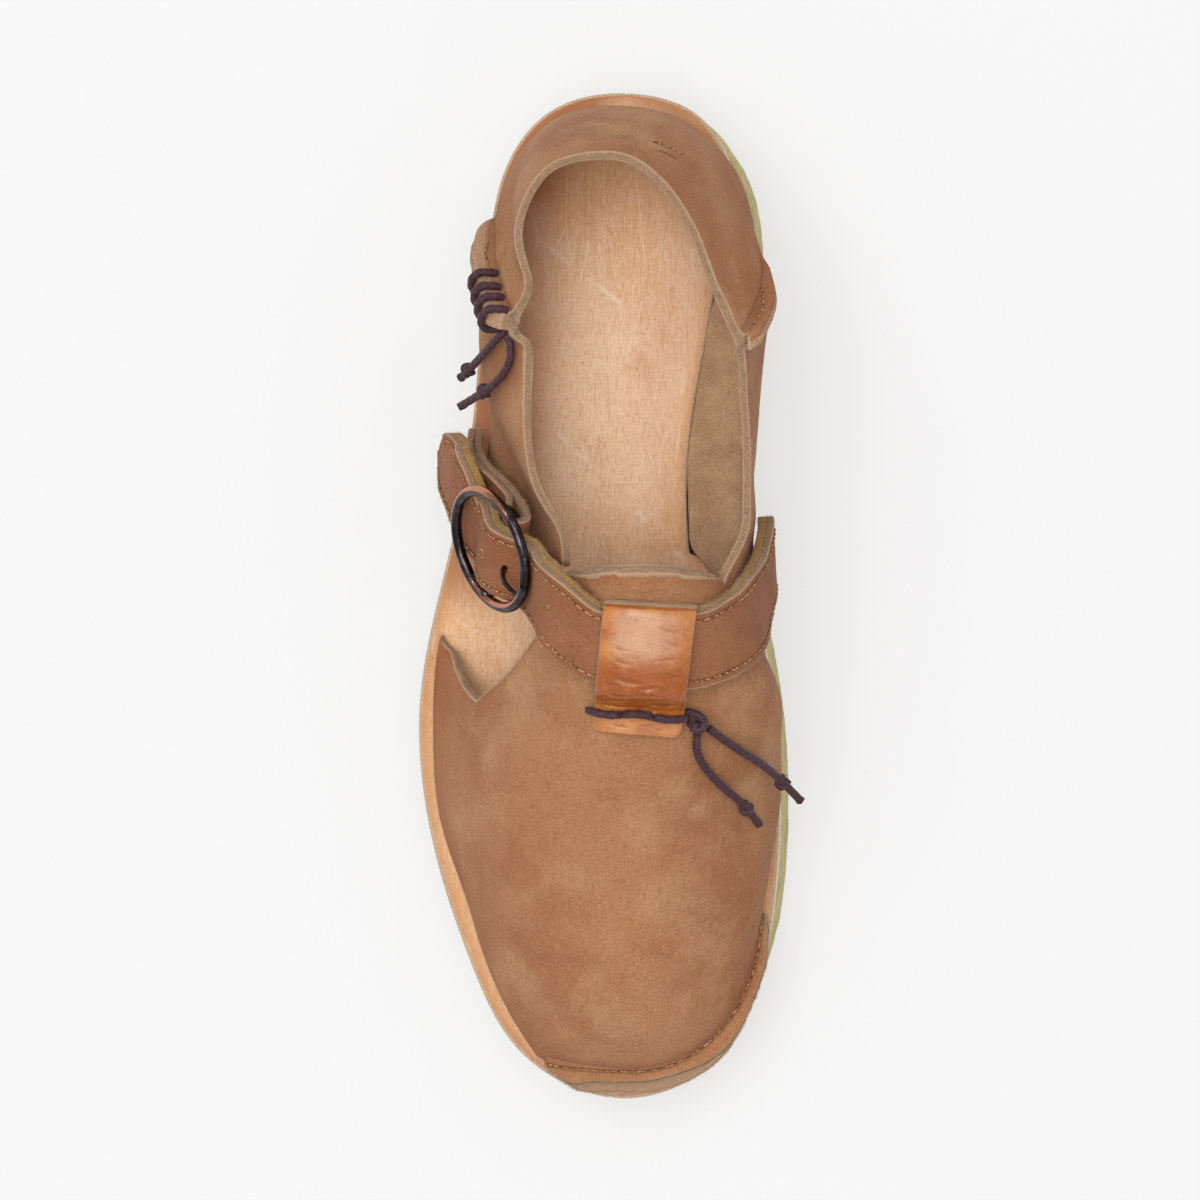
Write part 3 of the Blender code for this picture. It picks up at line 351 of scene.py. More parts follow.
def strap_frames(tree, steps):
    """Middle of the strap's inner face, its outward normal and its width direction at each step."""
    middle = [np.array(place) for place in STRAP_RISE]
    out = [unit((1.0, 0.05, -0.05)), unit((1.0, 0.0, 0.1))]
    for place in STRAP_LAID:
        near, normal, _, _ = tree.find_nearest(Vector(place))
        middle.append(np.array(near) + np.array(normal) * (GAP + 0.45))
        out.append(np.array(normal))
    for row in STRAP_FREE:
        middle.append(np.array(row[:3]))
        out.append(unit(row[3:]))
    for along, away in STRAP_BUCKLED:
        middle.append(at_ring(along, away, -STRAP_LOW))
        out.append(unit(RING_FACING))
    for row in STRAP_END:
        middle.append(np.array(row[:3]))
        out.append(unit(row[3:]))
    shares = np.linspace(0, 1, steps)
    out = read_at(shares, lengths(middle), out)
    padded = np.pad(out, ((2, 2), (0, 0)), mode="edge")
    out = sum(padded[i : i + steps] for i in range(5)) / 5
    middle = through(middle, shares)
    along = unit(np.gradient(middle, axis=0))
    wide = unit(np.cross(out, along))
    return middle, unit(np.cross(along, wide)), wide


def ring_circle(radius, steps):
    """Places round the ring's middle."""
    turns = np.linspace(0, 2 * math.pi, steps, endpoint=False)
    return [at_ring(radius * math.cos(t), 0.0, radius * math.sin(t)) for t in turns]


def over(tree, x, y):
    """The point of the upper's top surface above x, y, and the way it faces."""
    place, normal, _, _ = tree.ray_cast(Vector((x, y, 200)), Vector((0, 0, -1)))
    return np.array(place), np.array(normal)


def keeper_facing(tree, share):
    """The way that the upper faces under the keeper's middle, at this share of the keeper's length."""
    return over(tree, *(np.array(KEEPER_TOP).mean(0) * (1 - share) + np.array(KEEPER_FOOT).mean(0) * share))[1]


def keeper_place(tree, share, part, height):
    """A point this far off the upper, seen from above at these shares of the keeper's length and width."""
    top = np.array(KEEPER_TOP[0]) * (1 - part) + np.array(KEEPER_TOP[1]) * part
    foot = np.array(KEEPER_FOOT[0]) * (1 - part) + np.array(KEEPER_FOOT[1]) * part
    seen = top * (1 - share) + foot * share
    facing = keeper_facing(tree, share)
    place = over(tree, *(seen - facing[:2] * height))[0]
    return place + facing * height


# ---------------------------------------------------------------- small tools

def noise(points, size, seed=0):
    """Smooth noise from -1 to 1 at points, in lumps of this size."""
    place = np.asarray(points, float) / size + seed * 17.31
    cell = np.floor(place).astype(np.int64)
    part = place - cell
    part = part * part * (3 - 2 * part)
    total = np.zeros(place.shape[:-1])
    for corner in np.ndindex(2, 2, 2):
        c = cell + np.array(corner)
        mixed = (c[..., 0] * 73856093) ^ (c[..., 1] * 19349663) ^ (c[..., 2] * 83492791)
        mixed = (mixed ^ (mixed >> 13)) * 1274126177 & 0xFFFFFFFF
        mixed = (mixed ^ (mixed >> 15)) * 2246822519 & 0xFFFFFFFF
        weight = np.prod(np.where(corner, part, 1 - part), axis=-1)
        total += (mixed / 2**31 - 1) * weight
    return total


def step(low, high, value):
    """A smooth step from 0 at low to 1 at high."""
    t = np.clip((np.asarray(value, float) - low) / (high - low), 0, 1)
    return t * t * (3 - 2 * t)


def build(name, points, faces, finishes, kinds=None, marks=None):
    """A smooth mesh object. kinds is each face's finish, marks are named numbers at the points."""
    mesh = bpy.data.meshes.new(name)
    mesh.from_pydata((np.asarray(points, float) * MM).tolist(), [], [tuple(map(int, f)) for f in faces])
    for finish in finishes:
        mesh.materials.append(finish)
    if kinds is not None:
        mesh.polygons.foreach_set("material_index", np.asarray(kinds, np.int32))
    mesh.polygons.foreach_set("use_smooth", np.ones(len(mesh.polygons), bool))
    for key, values in (marks or {}).items():
        mesh.attributes.new(key, "FLOAT", "POINT").data.foreach_set("value", np.asarray(values, np.float32))
    mesh.update()
    return placed(name, mesh)


def skin(sections, kinds, closed=False):
    """Points, faces and kinds of a tube over sections, each a loop with a kind for each of its sides."""
    sections = np.asarray(sections, float)
    count, corners = sections.shape[:2]
    faces, looks = [], []
    for i in range(count if closed else count - 1):
        n = (i + 1) % count
        for j in range(corners):
            k = (j + 1) % corners
            faces.append((i * corners + j, i * corners + k, n * corners + k, n * corners + j))
            looks.append(kinds[j])
    points = sections.reshape(-1, 3)
    if not closed:
        for end, first in ((0, True), (count - 1, False)):
            middle = len(points)
            points = np.vstack([points, sections[end].mean(0)])
            for j in range(corners):
                k = (j + 1) % corners
                a, b = end * corners + j, end * corners + k
                faces.append((middle, b, a) if first else (middle, a, b))
                looks.append(kinds[-1])
    return points, faces, looks


def merge(parts):
    """Several (points, faces, kinds) as one."""
    points, faces, kinds, start = [], [], [], 0
    for some, these, looks in parts:
        points.append(np.asarray(some, float))
        faces += [tuple(v + start for v in face) for face in these]
        kinds += list(looks)
        start += len(some)
    return np.vstack(points), faces, kinds


def turned_out(points, faces):
    """The faces turned so that a closed mesh faces out."""
    tall = np.array([(f[0], f[1], f[2]) for f in faces])
    quads = np.array([(f[0], f[2], f[3]) for f in faces if len(f) == 4])
    p = np.asarray(points, float)
    volume = np.linalg.det(p[tall]).sum() + (np.linalg.det(p[quads]).sum() if len(quads) else 0)
    return [f[::-1] for f in faces] if volume < 0 else faces


def frames_along(points):
    """Directions along a line and two across it, which don't twist."""
    points = np.asarray(points, float)
    along = unit(np.gradient(points, axis=0))
    side = unit(np.cross(along[0], (0.12, 0.23, 0.97)))  # any way that no line here starts along
    sides = []
    for way in along:
        side = unit(side - way * (side @ way))
        sides.append(side)
    sides = np.array(sides)
    return along, sides, np.cross(along, sides)


def spokes(side, up, turns):
    """The ways out from a line at these turns round it, from side towards up."""
    return side[:, None] * np.cos(turns)[:, None] + up[:, None] * np.sin(turns)[:, None]


def rod(points, radius, sides=12, rounded=True):
    """A round bar along points with domed ends: points, faces, kinds."""
    points = np.asarray(points, float)
    along, side, up = frames_along(points)
    radius = np.broadcast_to(np.asarray(radius, float), len(points)).copy()
    if rounded:
        dome = [(0.85, 0.35), (0.6, 0.75)]  # how far out, and how wide there, as shares of the radius
        before = [(points[0] - along[0] * radius[0] * b, radius[0] * r) for b, r in dome]
        after = [(points[-1] + along[-1] * radius[-1] * b, radius[-1] * r) for b, r in dome[::-1]]
        points = np.vstack([[p for p, _ in before], points, [p for p, _ in after]])
        radius = np.concatenate([[r for _, r in before], radius, [r for _, r in after]])
        side, up = (np.pad(ways, ((2, 2), (0, 0)), mode="edge") for ways in (side, up))
    turns = np.linspace(0, 2 * math.pi, sides, endpoint=False)
    made, faces, kinds = skin(points[:, None] + spokes(side, up, turns) * radius[:, None, None], [0] * sides)
    return made, turned_out(made, faces), kinds


def even(points, pitch):
    """Evenly spaced points along a line, about pitch apart."""
    run = distances(points)
    return read_at(np.linspace(0, run[-1], max(2, round(run[-1] / pitch) + 1)), run, points)


def curve_through(route, pitch=0.5):
    """A smooth line through a route's points, with even steps."""
    return even(through(route, np.linspace(0, 1, 400)), pitch)


def braid(points, radius=CORD / 2, strands=4, sides=18, twist=0.55, ends=(1.0, 1.0)):
    """A braided cord along points: strands that cross in two directions raise its round wall."""
    line = even(points, 0.22)
    _, side, up = frames_along(line)
    run = np.arange(len(line)) * np.linalg.norm(line[1] - line[0])
    turns = np.linspace(0, 2 * math.pi, sides, endpoint=False)
    lay = run[:, None] * 2 * math.pi / (strands * twist * 1.55)
    one = np.cos(strands * turns[None] + lay)
    two = np.cos(strands * turns[None] - lay)
    lift = 1 + 0.085 * np.maximum(one, two) - 0.06 * (np.minimum(one, two) < -0.35)
    size = radius * 0.98 * lift
    size *= (1 + 0.03 * noise(line, 2.4, 5))[:, None]
    for number, end in enumerate(ends):
        near = run if number == 0 else run[-1] - run
        size *= (1 + (end - 1) * np.exp(-near / 0.8))[:, None]
    made, faces, kinds = skin(line[:, None] + spokes(side, up, turns) * size[:, :, None], [0] * sides)
    return made, turned_out(made, faces), kinds


def knot(middle, way, size=1.0, up=(0, 0, 1), radius=CORD / 2):
    """A pulled overhand knot round middle, in a cord that runs along way."""
    t = np.linspace(0, 2 * math.pi, 70)
    way = unit(way)
    wide = unit(np.cross(up, way))
    high = np.cross(way, wide)
    a = (np.sin(t) + 2 * np.sin(2 * t)) * 0.56 * size
    b = (np.cos(t) - 2 * np.cos(2 * t)) * 0.50 * size
    c = -np.sin(3 * t) * 0.72 * size
    line = np.array(middle) + a[:, None] * way + b[:, None] * wide + c[:, None] * high
    return braid(line, radius * 0.9)


def finish_piece(made, slot_name, *nodes):
    """Rides on the one body and stands for these nodes; the slot is not used."""
    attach(made, "root")
    if nodes:
        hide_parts(*nodes)
    return made


def cord_piece(name, parts, finish, *nodes):
    """Lengths of cord as one piece, which stands for these nodes."""
    points, faces, kinds = merge(parts)
    return finish_piece(build(name, points, faces, [finish], kinds), "braided_cord", *nodes)


def capped(values):
    """A mark for each point of skinned sections, and none at the middles of its two ends."""
    return np.concatenate([np.ravel(values), [0, 0]])


def tree_of(made):
    """A tree of a scene mesh, in millimetres."""
    corners = [v.co / MM for v in made.data.vertices]
    return BVHTree.FromPolygons(corners, [tuple(p.vertices) for p in made.data.polygons])


# ---------------------------------------------------------------- finishes

def srgb(*colour):
    """A linear colour from one given in 0 to 255."""
    c = np.array(colour, float) / 255
    return (*np.where(c <= 0.04045, c / 12.92, ((c + 0.055) / 1.055) ** 2.4), 1.0)


def tone(colour, share):
    """A colour given in 0 to 255, lighter or darker by a share, or by one for each of its parts."""
    return np.minimum(255, np.multiply(colour, share))


class Finish:
    """A material on a Principled shader, with short ways to add nodes. base is its colour so far."""

    def __init__(self, name, roughness, metallic=0.0, **sockets):
        self.material = bpy.data.materials.new(name)
        self.material.use_nodes = True
        self.tree = self.material.node_tree
        self.shader = self.tree.nodes["Principled BSDF"]
        self.shader.inputs["Roughness"].default_value = roughness
        self.shader.inputs["Metallic"].default_value = metallic
        for key, value in sockets.items():
            self.shader.inputs[key.replace("_", " ")].default_value = value
        self.where = self.tree.nodes.new("ShaderNodeTexCoord").outputs["Object"]
        self.base = None

    def link(self, a, b):
        self.tree.links.new(a, b)

    def fill(self, socket, value):
        """Links the socket to another one, or sets its number or colour."""
        if hasattr(value, "links"):
            self.link(value, socket)
        else:
            socket.default_value = value

    def node(self, kind, where=None, **numbers):
        """A new node, on a place if one is given, with these numbers in its sockets."""
        made = self.tree.nodes.new("ShaderNode" + kind)
        for key, number in numbers.items():
            made.inputs[key.replace("_", " ")].default_value = number
        if where:
            self.link(where, made.inputs["Vector"])
        return made

    def stretched(self, scale, turn=(0, 0, 0)):
        """The place on the object, squeezed by scale along each axis."""
        return self.node("Mapping", self.where, Scale=scale, Rotation=turn).outputs["Vector"]

    def noise(self, size, detail=2.0, rough=0.5, where=None, distort=0.0):
        """Noise in lumps of this size in millimetres."""
        made = self.node("TexNoise", where or self.where, Scale=1 / (size * MM), Detail=detail,
                         Roughness=rough, Distortion=distort)
        return made.outputs["Fac"]

    def cells(self, size, where=None, feature="F1"):
        """How far a place is from the middles or the borders of cells of this size in millimetres."""
        made = self.node("TexVoronoi", where or self.where, Scale=1 / (size * MM))
        made.feature = feature
        return made.outputs["Distance"]

    def mark(self, name):
        """The named number at the mesh's points."""
        made = self.node("Attribute")
        made.attribute_name = name
        return made.outputs["Fac"]

    def ramp(self, value, low, high, a=0.0, b=1.0):
        """From a to b, smoothly, as value goes from low to high."""
        made = self.node("MapRange", From_Min=low, From_Max=high, To_Min=a, To_Max=b)
        made.interpolation_type = "SMOOTHSTEP"
        self.link(value, made.inputs["Value"])
        return made.outputs["Result"]

    def sum(self, a, b, kind="MULTIPLY"):
        """Two values multiplied, or put together in another way."""
        made = self.node("Math")
        made.operation = kind
        for socket, value in zip(made.inputs, (a, b)):
            self.fill(socket, value)
        return made.outputs[0]

    def mix(self, amount, a, b):
        """From colour a to colour b by this amount."""
        made = self.node("Mix")
        made.data_type = "RGBA"
        made.clamp_result = True
        for key, value in (("Factor", amount), ("A", a), ("B", b)):
            kind = "VALUE" if key == "Factor" else "RGBA"
            self.fill(next(s for s in made.inputs if s.name == key and s.type == kind), value)
        return next(s for s in made.outputs if s.type == "RGBA")

    def between(self, value, low, high, dark, light):
        """From dark to light as value goes from low to high."""
        return self.mix(self.ramp(value, low, high), srgb(*dark), srgb(*light))

    def over(self, amount, colour):
        """Puts a colour over the base by this amount."""
        self.base = self.mix(amount, self.base, colour if hasattr(colour, "links") else srgb(*colour))

    def tint(self, value, low, high, most, colour):
        """Puts a colour over the base, by none to most as value goes from low to high."""
        self.over(self.ramp(value, low, high, 0, most), colour)

    def colour(self):
        self.link(self.base, self.shader.inputs["Base Color"])

    def rough(self, value):
        self.link(value, self.shader.inputs["Roughness"])

    def bump(self, height, depth, strength=1.0):
        """A bump of this depth in millimetres, over any that is there."""
        made = self.node("Bump", Distance=depth * MM, Strength=strength)
        self.link(height, made.inputs["Height"])
        before = self.shader.inputs["Normal"].links
        if before:
            self.link(before[0].from_socket, made.inputs["Normal"])
        self.link(made.outputs["Normal"], self.shader.inputs["Normal"])


def nubuck(name, dark, mid, light, pore=0.5):
    """Brushed leather: patches of tone, a fine nap that reads as speckle, short soft wrinkles, and painted shade
    where the pieces mark it.
    """
    f = Finish(name, 0.86, Sheen_Weight=0.04, Sheen_Roughness=0.5, Specular_IOR_Level=0.18)
    f.base = f.between(f.noise(34, 3, 0.55), 0.34, 0.66, dark, mid)
    f.tint(f.noise(19, 3, 0.6, f.stretched((1, 0.8, 1), (0.4, 0.9, 0.2))), 0.42, 0.72, 0.85, light)
    nap = f.noise(0.42, 3, 0.7)
    f.tint(nap, 0.54, 0.34, 0.42, tone(dark, 0.74))
    f.tint(nap, 0.52, 0.70, 0.34, tone(light, 1.16))
    f.tint(f.noise(1.3, 3, 0.7, f.stretched((1, 0.45, 1), (0, 0, 0.6))), 0.46, 0.30, 0.35, tone(dark, 0.82))
    vein = f.cells(1.9, f.stretched((0.62, 1.25, 1.0), (0, 0, 0.5)), "DISTANCE_TO_EDGE")
    spots = f.ramp(f.noise(13, 3, 0.6), 0.42, 0.62)
    f.over(f.sum(f.ramp(vein, 0.07, 0.0, 0, 0.26), spots), tone(dark, 0.70))
    comb = f.noise(0.7, 3, 0.7, f.stretched((1.0, 0.22, 1.0), (0, 0, 0.45)))
    f.tint(comb, 0.54, 0.72, 0.22, tone(light, 1.12))
    f.tint(comb, 0.44, 0.28, 0.26, tone(dark, 0.84))
    # A mark of patches of tone, darker by the vamp's free edges, with painted shade low down by the footbed and on
    # the heel's inner side.
    f.over(f.mark("tone_and_painted_shade"), tone(dark, (0.92, 0.80, 0.72)))
    # A mark of painted shade, in the grooves of the stitches and at the foot of raised seams.
    f.over(f.mark("dark"), (66, 38, 26))
    cut = f.between(f.noise(0.34, 4, 0.75), 0.38, 0.60, (138, 103, 76), (190, 155, 124))
    f.over(f.ramp(f.sum(f.mark("cut"), f.sum(f.noise(0.5, 3, 0.7), 0.3), "ADD"), 0.52, 0.76), cut)
    f.colour()
    f.bump(f.noise(2.6, 4, 0.6, f.stretched((0.5, 1.3, 1.0), (0.2, 0.1, 0.5)), 0.6), 0.42, 0.8)
    f.bump(f.ramp(vein, 0.0, 0.16), 0.10, 0.6)
    f.bump(f.cells(1.5, f.stretched((1, 0.7, 1), (0, 0, 0.6)), "DISTANCE_TO_EDGE"), 0.16, 0.5)
    f.bump(f.cells(0.9), 0.14, 0.6)
    f.bump(nap, pore * 0.26)
    return f.material


def raw_edge(name, light, dark):
    """A cut edge of leather: pale packed fibres with darker pits."""
    f = Finish(name, 0.97, Sheen_Weight=0.08, Specular_IOR_Level=0.1)
    f.base = f.between(f.noise(0.34, 4, 0.75), 0.38, 0.60, dark, light)
    f.tint(f.noise(3.2, 3, 0.6), 0.45, 0.7, 0.45, tone(light, 0.84))
    f.over(f.mark("rim"), tone(light, 1.13))
    f.colour()
    f.bump(f.noise(0.4, 4, 0.8), 0.5)
    return f.material


def suede(name, dark, light):
    """The flesh side: a short rough nap."""
    f = Finish(name, 0.97, Sheen_Weight=0.10, Specular_IOR_Level=0.1)
    f.base = f.between(f.noise(11, 3, 0.6), 0.35, 0.66, dark, light)
    f.tint(f.noise(0.5, 4, 0.75), 0.54, 0.36, 0.55, tone(dark, 0.66))
    f.tint(f.noise(0.45, 4, 0.75), 0.52, 0.68, 0.45, tone(light, 1.16))
    f.colour()
    f.bump(f.noise(0.5, 4, 0.75), 0.35, 0.9)
    return f.material


def fibres(name, light, dark):
    """The loose fibres of a raw edge."""
    f = Finish(name, 0.9, Sheen_Weight=0.1, Specular_IOR_Level=0.1)
    f.base = f.between(f.noise(2.0, 2, 0.5), 0.35, 0.65, dark, light)
    f.colour()
    return f.material


def streaked_leather():
    """The footbed's smooth leather: long fine streaks, a paler middle, a few thin scratches, wear, and painted shade
    near its walls.
    """
    f = Finish("footbed_leather", 0.5, Specular_IOR_Level=0.36)
    fine, hairline, broad, across = (
        f.noise(size, detail, rough, f.stretched(scale, (0, 0, turn))) for size, detail, rough, scale, turn in (
            (0.30, 3, 0.75, (1.0, 0.085, 1.0), 0.03), (0.22, 2, 0.7, (1.0, 0.12, 1.0), -0.02),
            (1.1, 3, 0.6, (1.0, 0.03, 1.0), 0.03), (0.32, 3, 0.75, (0.07, 1.0, 1.0), 0.06)))
    f.base = f.between(f.noise(46, 2, 0.5), 0.35, 0.68, (230, 178, 130), (243, 203, 164))
    f.tint(f.noise(15, 3, 0.6, f.stretched((1.0, 0.5, 1.0))), 0.50, 0.70, 0.50, (250, 216, 180))
    f.tint(f.noise(12, 3, 0.6, f.stretched((1.0, 0.5, 1.0), (0, 0, 0.2))), 0.48, 0.30, 0.45, (214, 154, 100))
    for streak, low, high, most, colour in (
            (broad, 0.42, 0.68, 0.35, (240, 204, 168)), (broad, 0.40, 0.28, 0.30, (196, 136, 86)),
            (fine, 0.48, 0.34, 0.42, (190, 130, 82)), (fine, 0.52, 0.68, 0.48, (252, 228, 200)),
            (hairline, 0.45, 0.33, 0.40, (188, 126, 78)), (hairline, 0.55, 0.70, 0.42, (252, 230, 204)),
            (across, 0.55, 0.70, 0.44, (252, 230, 204)), (across, 0.44, 0.30, 0.42, (186, 124, 76))):
        f.tint(streak, low, high, most, colour)
    f.over(f.sum(f.mark("rimmed"), 0.48), (210, 150, 84))
    for turn, size, spread in ((0.9, 26, 17), (-0.7, 34, 13), (2.2, 30, 21)):
        scratch = f.cells(size, f.stretched((1.0, 0.16, 1.0), (0, 0, turn)), "DISTANCE_TO_EDGE")
        lone = f.ramp(f.noise(spread, 2, 0.5, f.stretched((1, 1, 1), (0, 0, turn))), 0.53, 0.62)
        f.over(f.sum(f.sum(f.ramp(scratch, 0.006, 0.0), lone), 0.50), (252, 232, 208))
    # Wear at the toe and rim, and painted shade near the walls, under the tongue and round the heel.
    f.over(f.mark("wear_and_painted_shade"), (158, 88, 42))
    f.colour()
    f.rough(f.ramp(fine, 0.3, 0.7, 0.60, 0.42))
    for streak, depth, strength in ((fine, 0.18, 0.8), (hairline, 0.10, 0.7), (across, 0.08, 0.6)):
        f.bump(streak, depth, strength)
    return f.material


def crepe_rubber():
    """The outsole: pale grained rubber."""
    f = Finish("crepe_rubber", 0.85, Specular_IOR_Level=0.2)
    f.base = f.between(f.noise(7, 4, 0.65), 0.35, 0.65, (182, 168, 112), (200, 188, 136))
    f.tint(f.noise(0.8, 3, 0.7), 0.40, 0.60, 0.40, (220, 212, 168))
    f.tint(f.noise(1.1, 3, 0.7), 0.56, 0.70, 0.40, (158, 146, 94))
    f.colour()
    f.bump(f.noise(0.8, 4, 0.75), 0.5, 0.9)
    f.bump(f.noise(4.5, 2, 0.6), 0.5, 0.5)
    return f.material


def board():
    """The thin pale layer, with painted shade where it lies deep inside."""
    f = Finish("midsole_board", 0.85, Specular_IOR_Level=0.2)
    f.base = f.between(f.noise(0.8, 3, 0.7), 0.35, 0.65, (222, 208, 180), (243, 235, 216))
    # Painted shade on the layer where it lies deep inside, under the footbed.
    f.over(f.mark("dark"), (52, 34, 22))
    f.colour()
    f.bump(f.noise(0.6, 3, 0.7), 0.2, 0.7)
    return f.material


def waxed_leather():
    """The keeper: smooth saturated tan with a painted highlight over its swell, painted shade below it and in its
    folds, and fine cracks.
    """
    f = Finish("tan_leather", 0.34, Specular_IOR_Level=0.42, Coat_Weight=0.22, Coat_Roughness=0.18)
    f.base = f.between(f.noise(6, 3, 0.6), 0.35, 0.68, (172, 94, 34), (200, 126, 58))
    # A painted highlight over the swell, and a paler tab at the foot.
    f.over(f.mark("pale"), (206, 166, 136))
    # Painted shade on the lower slope and at the folded top edge.
    f.over(f.mark("deep"), (150, 72, 14))
    f.tint(f.noise(3.1, 4, 0.65, None, 0.9), 0.54, 0.72, 0.34, (218, 150, 84))
    f.tint(f.noise(2.3, 4, 0.65, None, 1.1), 0.44, 0.28, 0.42, (140, 66, 18))
    line = f.noise(1.3, 4, 0.7, f.stretched((0.35, 1.6, 1.0), (0, 0, 0.12)), 1.2)
    f.tint(line, 0.60, 0.72, 0.26, (228, 180, 124))
    f.tint(line, 0.40, 0.28, 0.30, (136, 72, 28))
    f.tint(f.noise(0.45, 3, 0.6), 0.5, 0.7, 0.28, (150, 84, 36))
    # Painted shade in the folds.
    f.over(f.mark("crease"), (118, 60, 24))
    f.colour()
    f.rough(f.ramp(f.noise(2.0, 3, 0.6), 0.3, 0.7, 0.26, 0.44))
    f.bump(f.noise(4.2, 3, 0.6, None, 0.8), 0.45, 0.6)
    f.bump(f.noise(1.3, 3, 0.6, f.stretched((0.8, 1.2, 1.0)), 1.0), 0.16, 0.6)
    f.bump(line, 0.20, 0.7)
    f.bump(f.cells(0.8), 0.08, 0.7)
    return f.material


def cord_finish():
    """Dark waxed cord."""
    f = Finish("braided_cord", 0.6, Sheen_Weight=0.08, Sheen_Roughness=0.4, Specular_IOR_Level=0.4)
    f.base = f.between(f.noise(0.40, 3, 0.6), 0.35, 0.65, (34, 14, 20), (84, 48, 58))
    f.tint(f.noise(5, 2, 0.5), 0.4, 0.7, 0.35, (56, 28, 36))
    f.colour()
    f.bump(f.noise(0.28, 3, 0.6), 0.12, 0.8)
    return f.material


def thread_finish():
    """The thread of the stitches."""
    f = Finish("thread", 0.5, Specular_IOR_Level=0.4)
    f.base = f.between(f.noise(0.7, 3, 0.6), 0.40, 0.66, (112, 68, 38), (200, 150, 100))
    f.colour()
    f.bump(f.noise(0.25, 2, 0.5), 0.08, 0.8)
    return f.material


def dark_hole():
    """The shadow inside a hole."""
    f = Finish("stitch_hole", 1.0, Specular_IOR_Level=0.0)
    f.shader.inputs["Base Color"].default_value = srgb(50, 28, 18)
    return f.material


def gunmetal():
    """Dark plated metal, with copper painted as a reflection on the side that faces the light and in patches where
    the plating wears through.
    """
    f = Finish("gunmetal", 0.16, 1.0)
    # Copper painted as a reflection where the wire faces the light, and in noisy patches as wear.
    wear_and_copper_sheen = f.ramp(f.sum(f.mark("wear_and_copper_sheen"), f.sum(f.noise(4.2, 3, 0.55), 0.5), "ADD"), 0.55, 1.05)
    f.base = f.between(f.noise(3.4, 3, 0.6), 0.4, 0.7, (52, 47, 50), (84, 77, 80))
    f.over(wear_and_copper_sheen, (190, 130, 106))
    f.colour()
    f.rough(f.ramp(f.noise(2.2, 4, 0.65), 0.35, 0.7, 0.10, 0.24))
    return f.material


# ---------------------------------------------------------------- the upper

SEAM_ANGLE = 48.4
LEVELS = 46
ROUNDS = 5  # points between the faces of a wall round its raw edge
UPPER_SHARES = np.unique(np.round(np.concatenate([
    np.linspace(QUARTER[0][0], QUARTER[-1][0], 240), np.arange(-0.0125, 0.01251, 0.00042) + OUTER_SEAM,
    np.arange(-0.0125, 0.01251, 0.00042) + INNER_SEAM]), 5))
UPPER_ROWS = np.unique(np.round(np.concatenate([
    np.linspace(0, 9, 150), [0.45, 1.85], np.linspace(0.3, 2.2, 40), np.linspace(8.0, 9, 24)]), 4))


def fine_sheet():
    """The middle of the upper's wall, finer than the node's: points, the quarter's first, and faces."""
    table = np.array(QUARTER)
    rows = spline(table[:, 0], table, UPPER_SHARES)
    rows[:, 0] = UPPER_SHARES
    levels = np.linspace(0, 1, LEVELS)
    quarter = np.array([rib(row, levels) for row in rows])
    last = np.array([vamp_point(0, a) for a in np.linspace(90, SEAM_ANGLE, LEVELS)])
    shift = last - quarter[-1]
    run = (UPPER_SHARES - UPPER_SHARES[0]) / (UPPER_SHARES[-1] - UPPER_SHARES[0])
    quarter += step(0.90, 1.0, run)[:, None, None] * shift
    points = list(quarter.reshape(-1, 3))
    ribs = len(UPPER_SHARES)
    faces = [(i * LEVELS + j, (i + 1) * LEVELS + j, (i + 1) * LEVELS + j + 1, i * LEVELS + j + 1)
             for i in range(ribs - 1) for j in range(LEVELS - 1)]
    tongue, wing = np.array(TONGUE_EDGE), np.array(WING_EDGE)
    notch = tongue[-1, 0]
    before = None
    for row in UPPER_ROWS:
        angle = -spline(tongue[:, 0], tongue[:, 1], row)[0, 0]
        side = list(np.linspace(90, SEAM_ANGLE, LEVELS)) + list(np.linspace(SEAM_ANGLE, 0, 31)[1:])
        side += list(np.linspace(0, angle, 33)[1:])
        line = []
        for number, a in enumerate(side):
            if row == 0 and number < LEVELS:
                line.append((ribs - 1) * LEVELS + number)
                continue
            line.append(len(points))
            points.append(vamp_point(row, a))
        low = []
        if row >= wing[0, 0]:
            start = -np.interp(row, wing[:, 0], wing[:, 1])
            level = np.clip((notch - row) / (notch - wing[0, 0]), 0, 1)
            for number, a in enumerate(np.linspace(start, -90, 27)):
                if number == 0 and row >= notch:
                    low.append(line[-1])
                    continue
                low.append(len(points))
                points.append(vamp_point(row + WING_SLANT * level * (90 + a) / (90 + start), a))
        for old, new in ((before[0], line), (before[1], low)) if before else ():
            for j in range(min(len(old), len(new)) - 1):
                faces.append((old[j], new[j], new[j + 1], old[j + 1]))
        before = (line, low)
    return np.array(points), faces


def point_normals(points, faces):
    """Which way a sheet faces at each of its points."""
    quads = np.array(faces)
    across = np.cross(points[quads[:, 2]] - points[quads[:, 0]], points[quads[:, 3]] - points[quads[:, 1]])
    normal = np.zeros_like(points)
    for corner in range(4):
        np.add.at(normal, quads[:, corner], across)
    return normal / np.maximum(np.linalg.norm(normal, axis=1, keepdims=True), 1e-9)


def free_edges(faces):
    """The edges that only one face has, in that face's order."""
    seen = {}
    for face in faces:
        for a, b in zip(face, (*face[1:], face[0])):
            if a == b:
                continue
            key = (min(a, b), max(a, b))
            seen.setdefault(key, []).append((a, b))
    return [uses[0] for uses in seen.values() if len(uses) == 1]


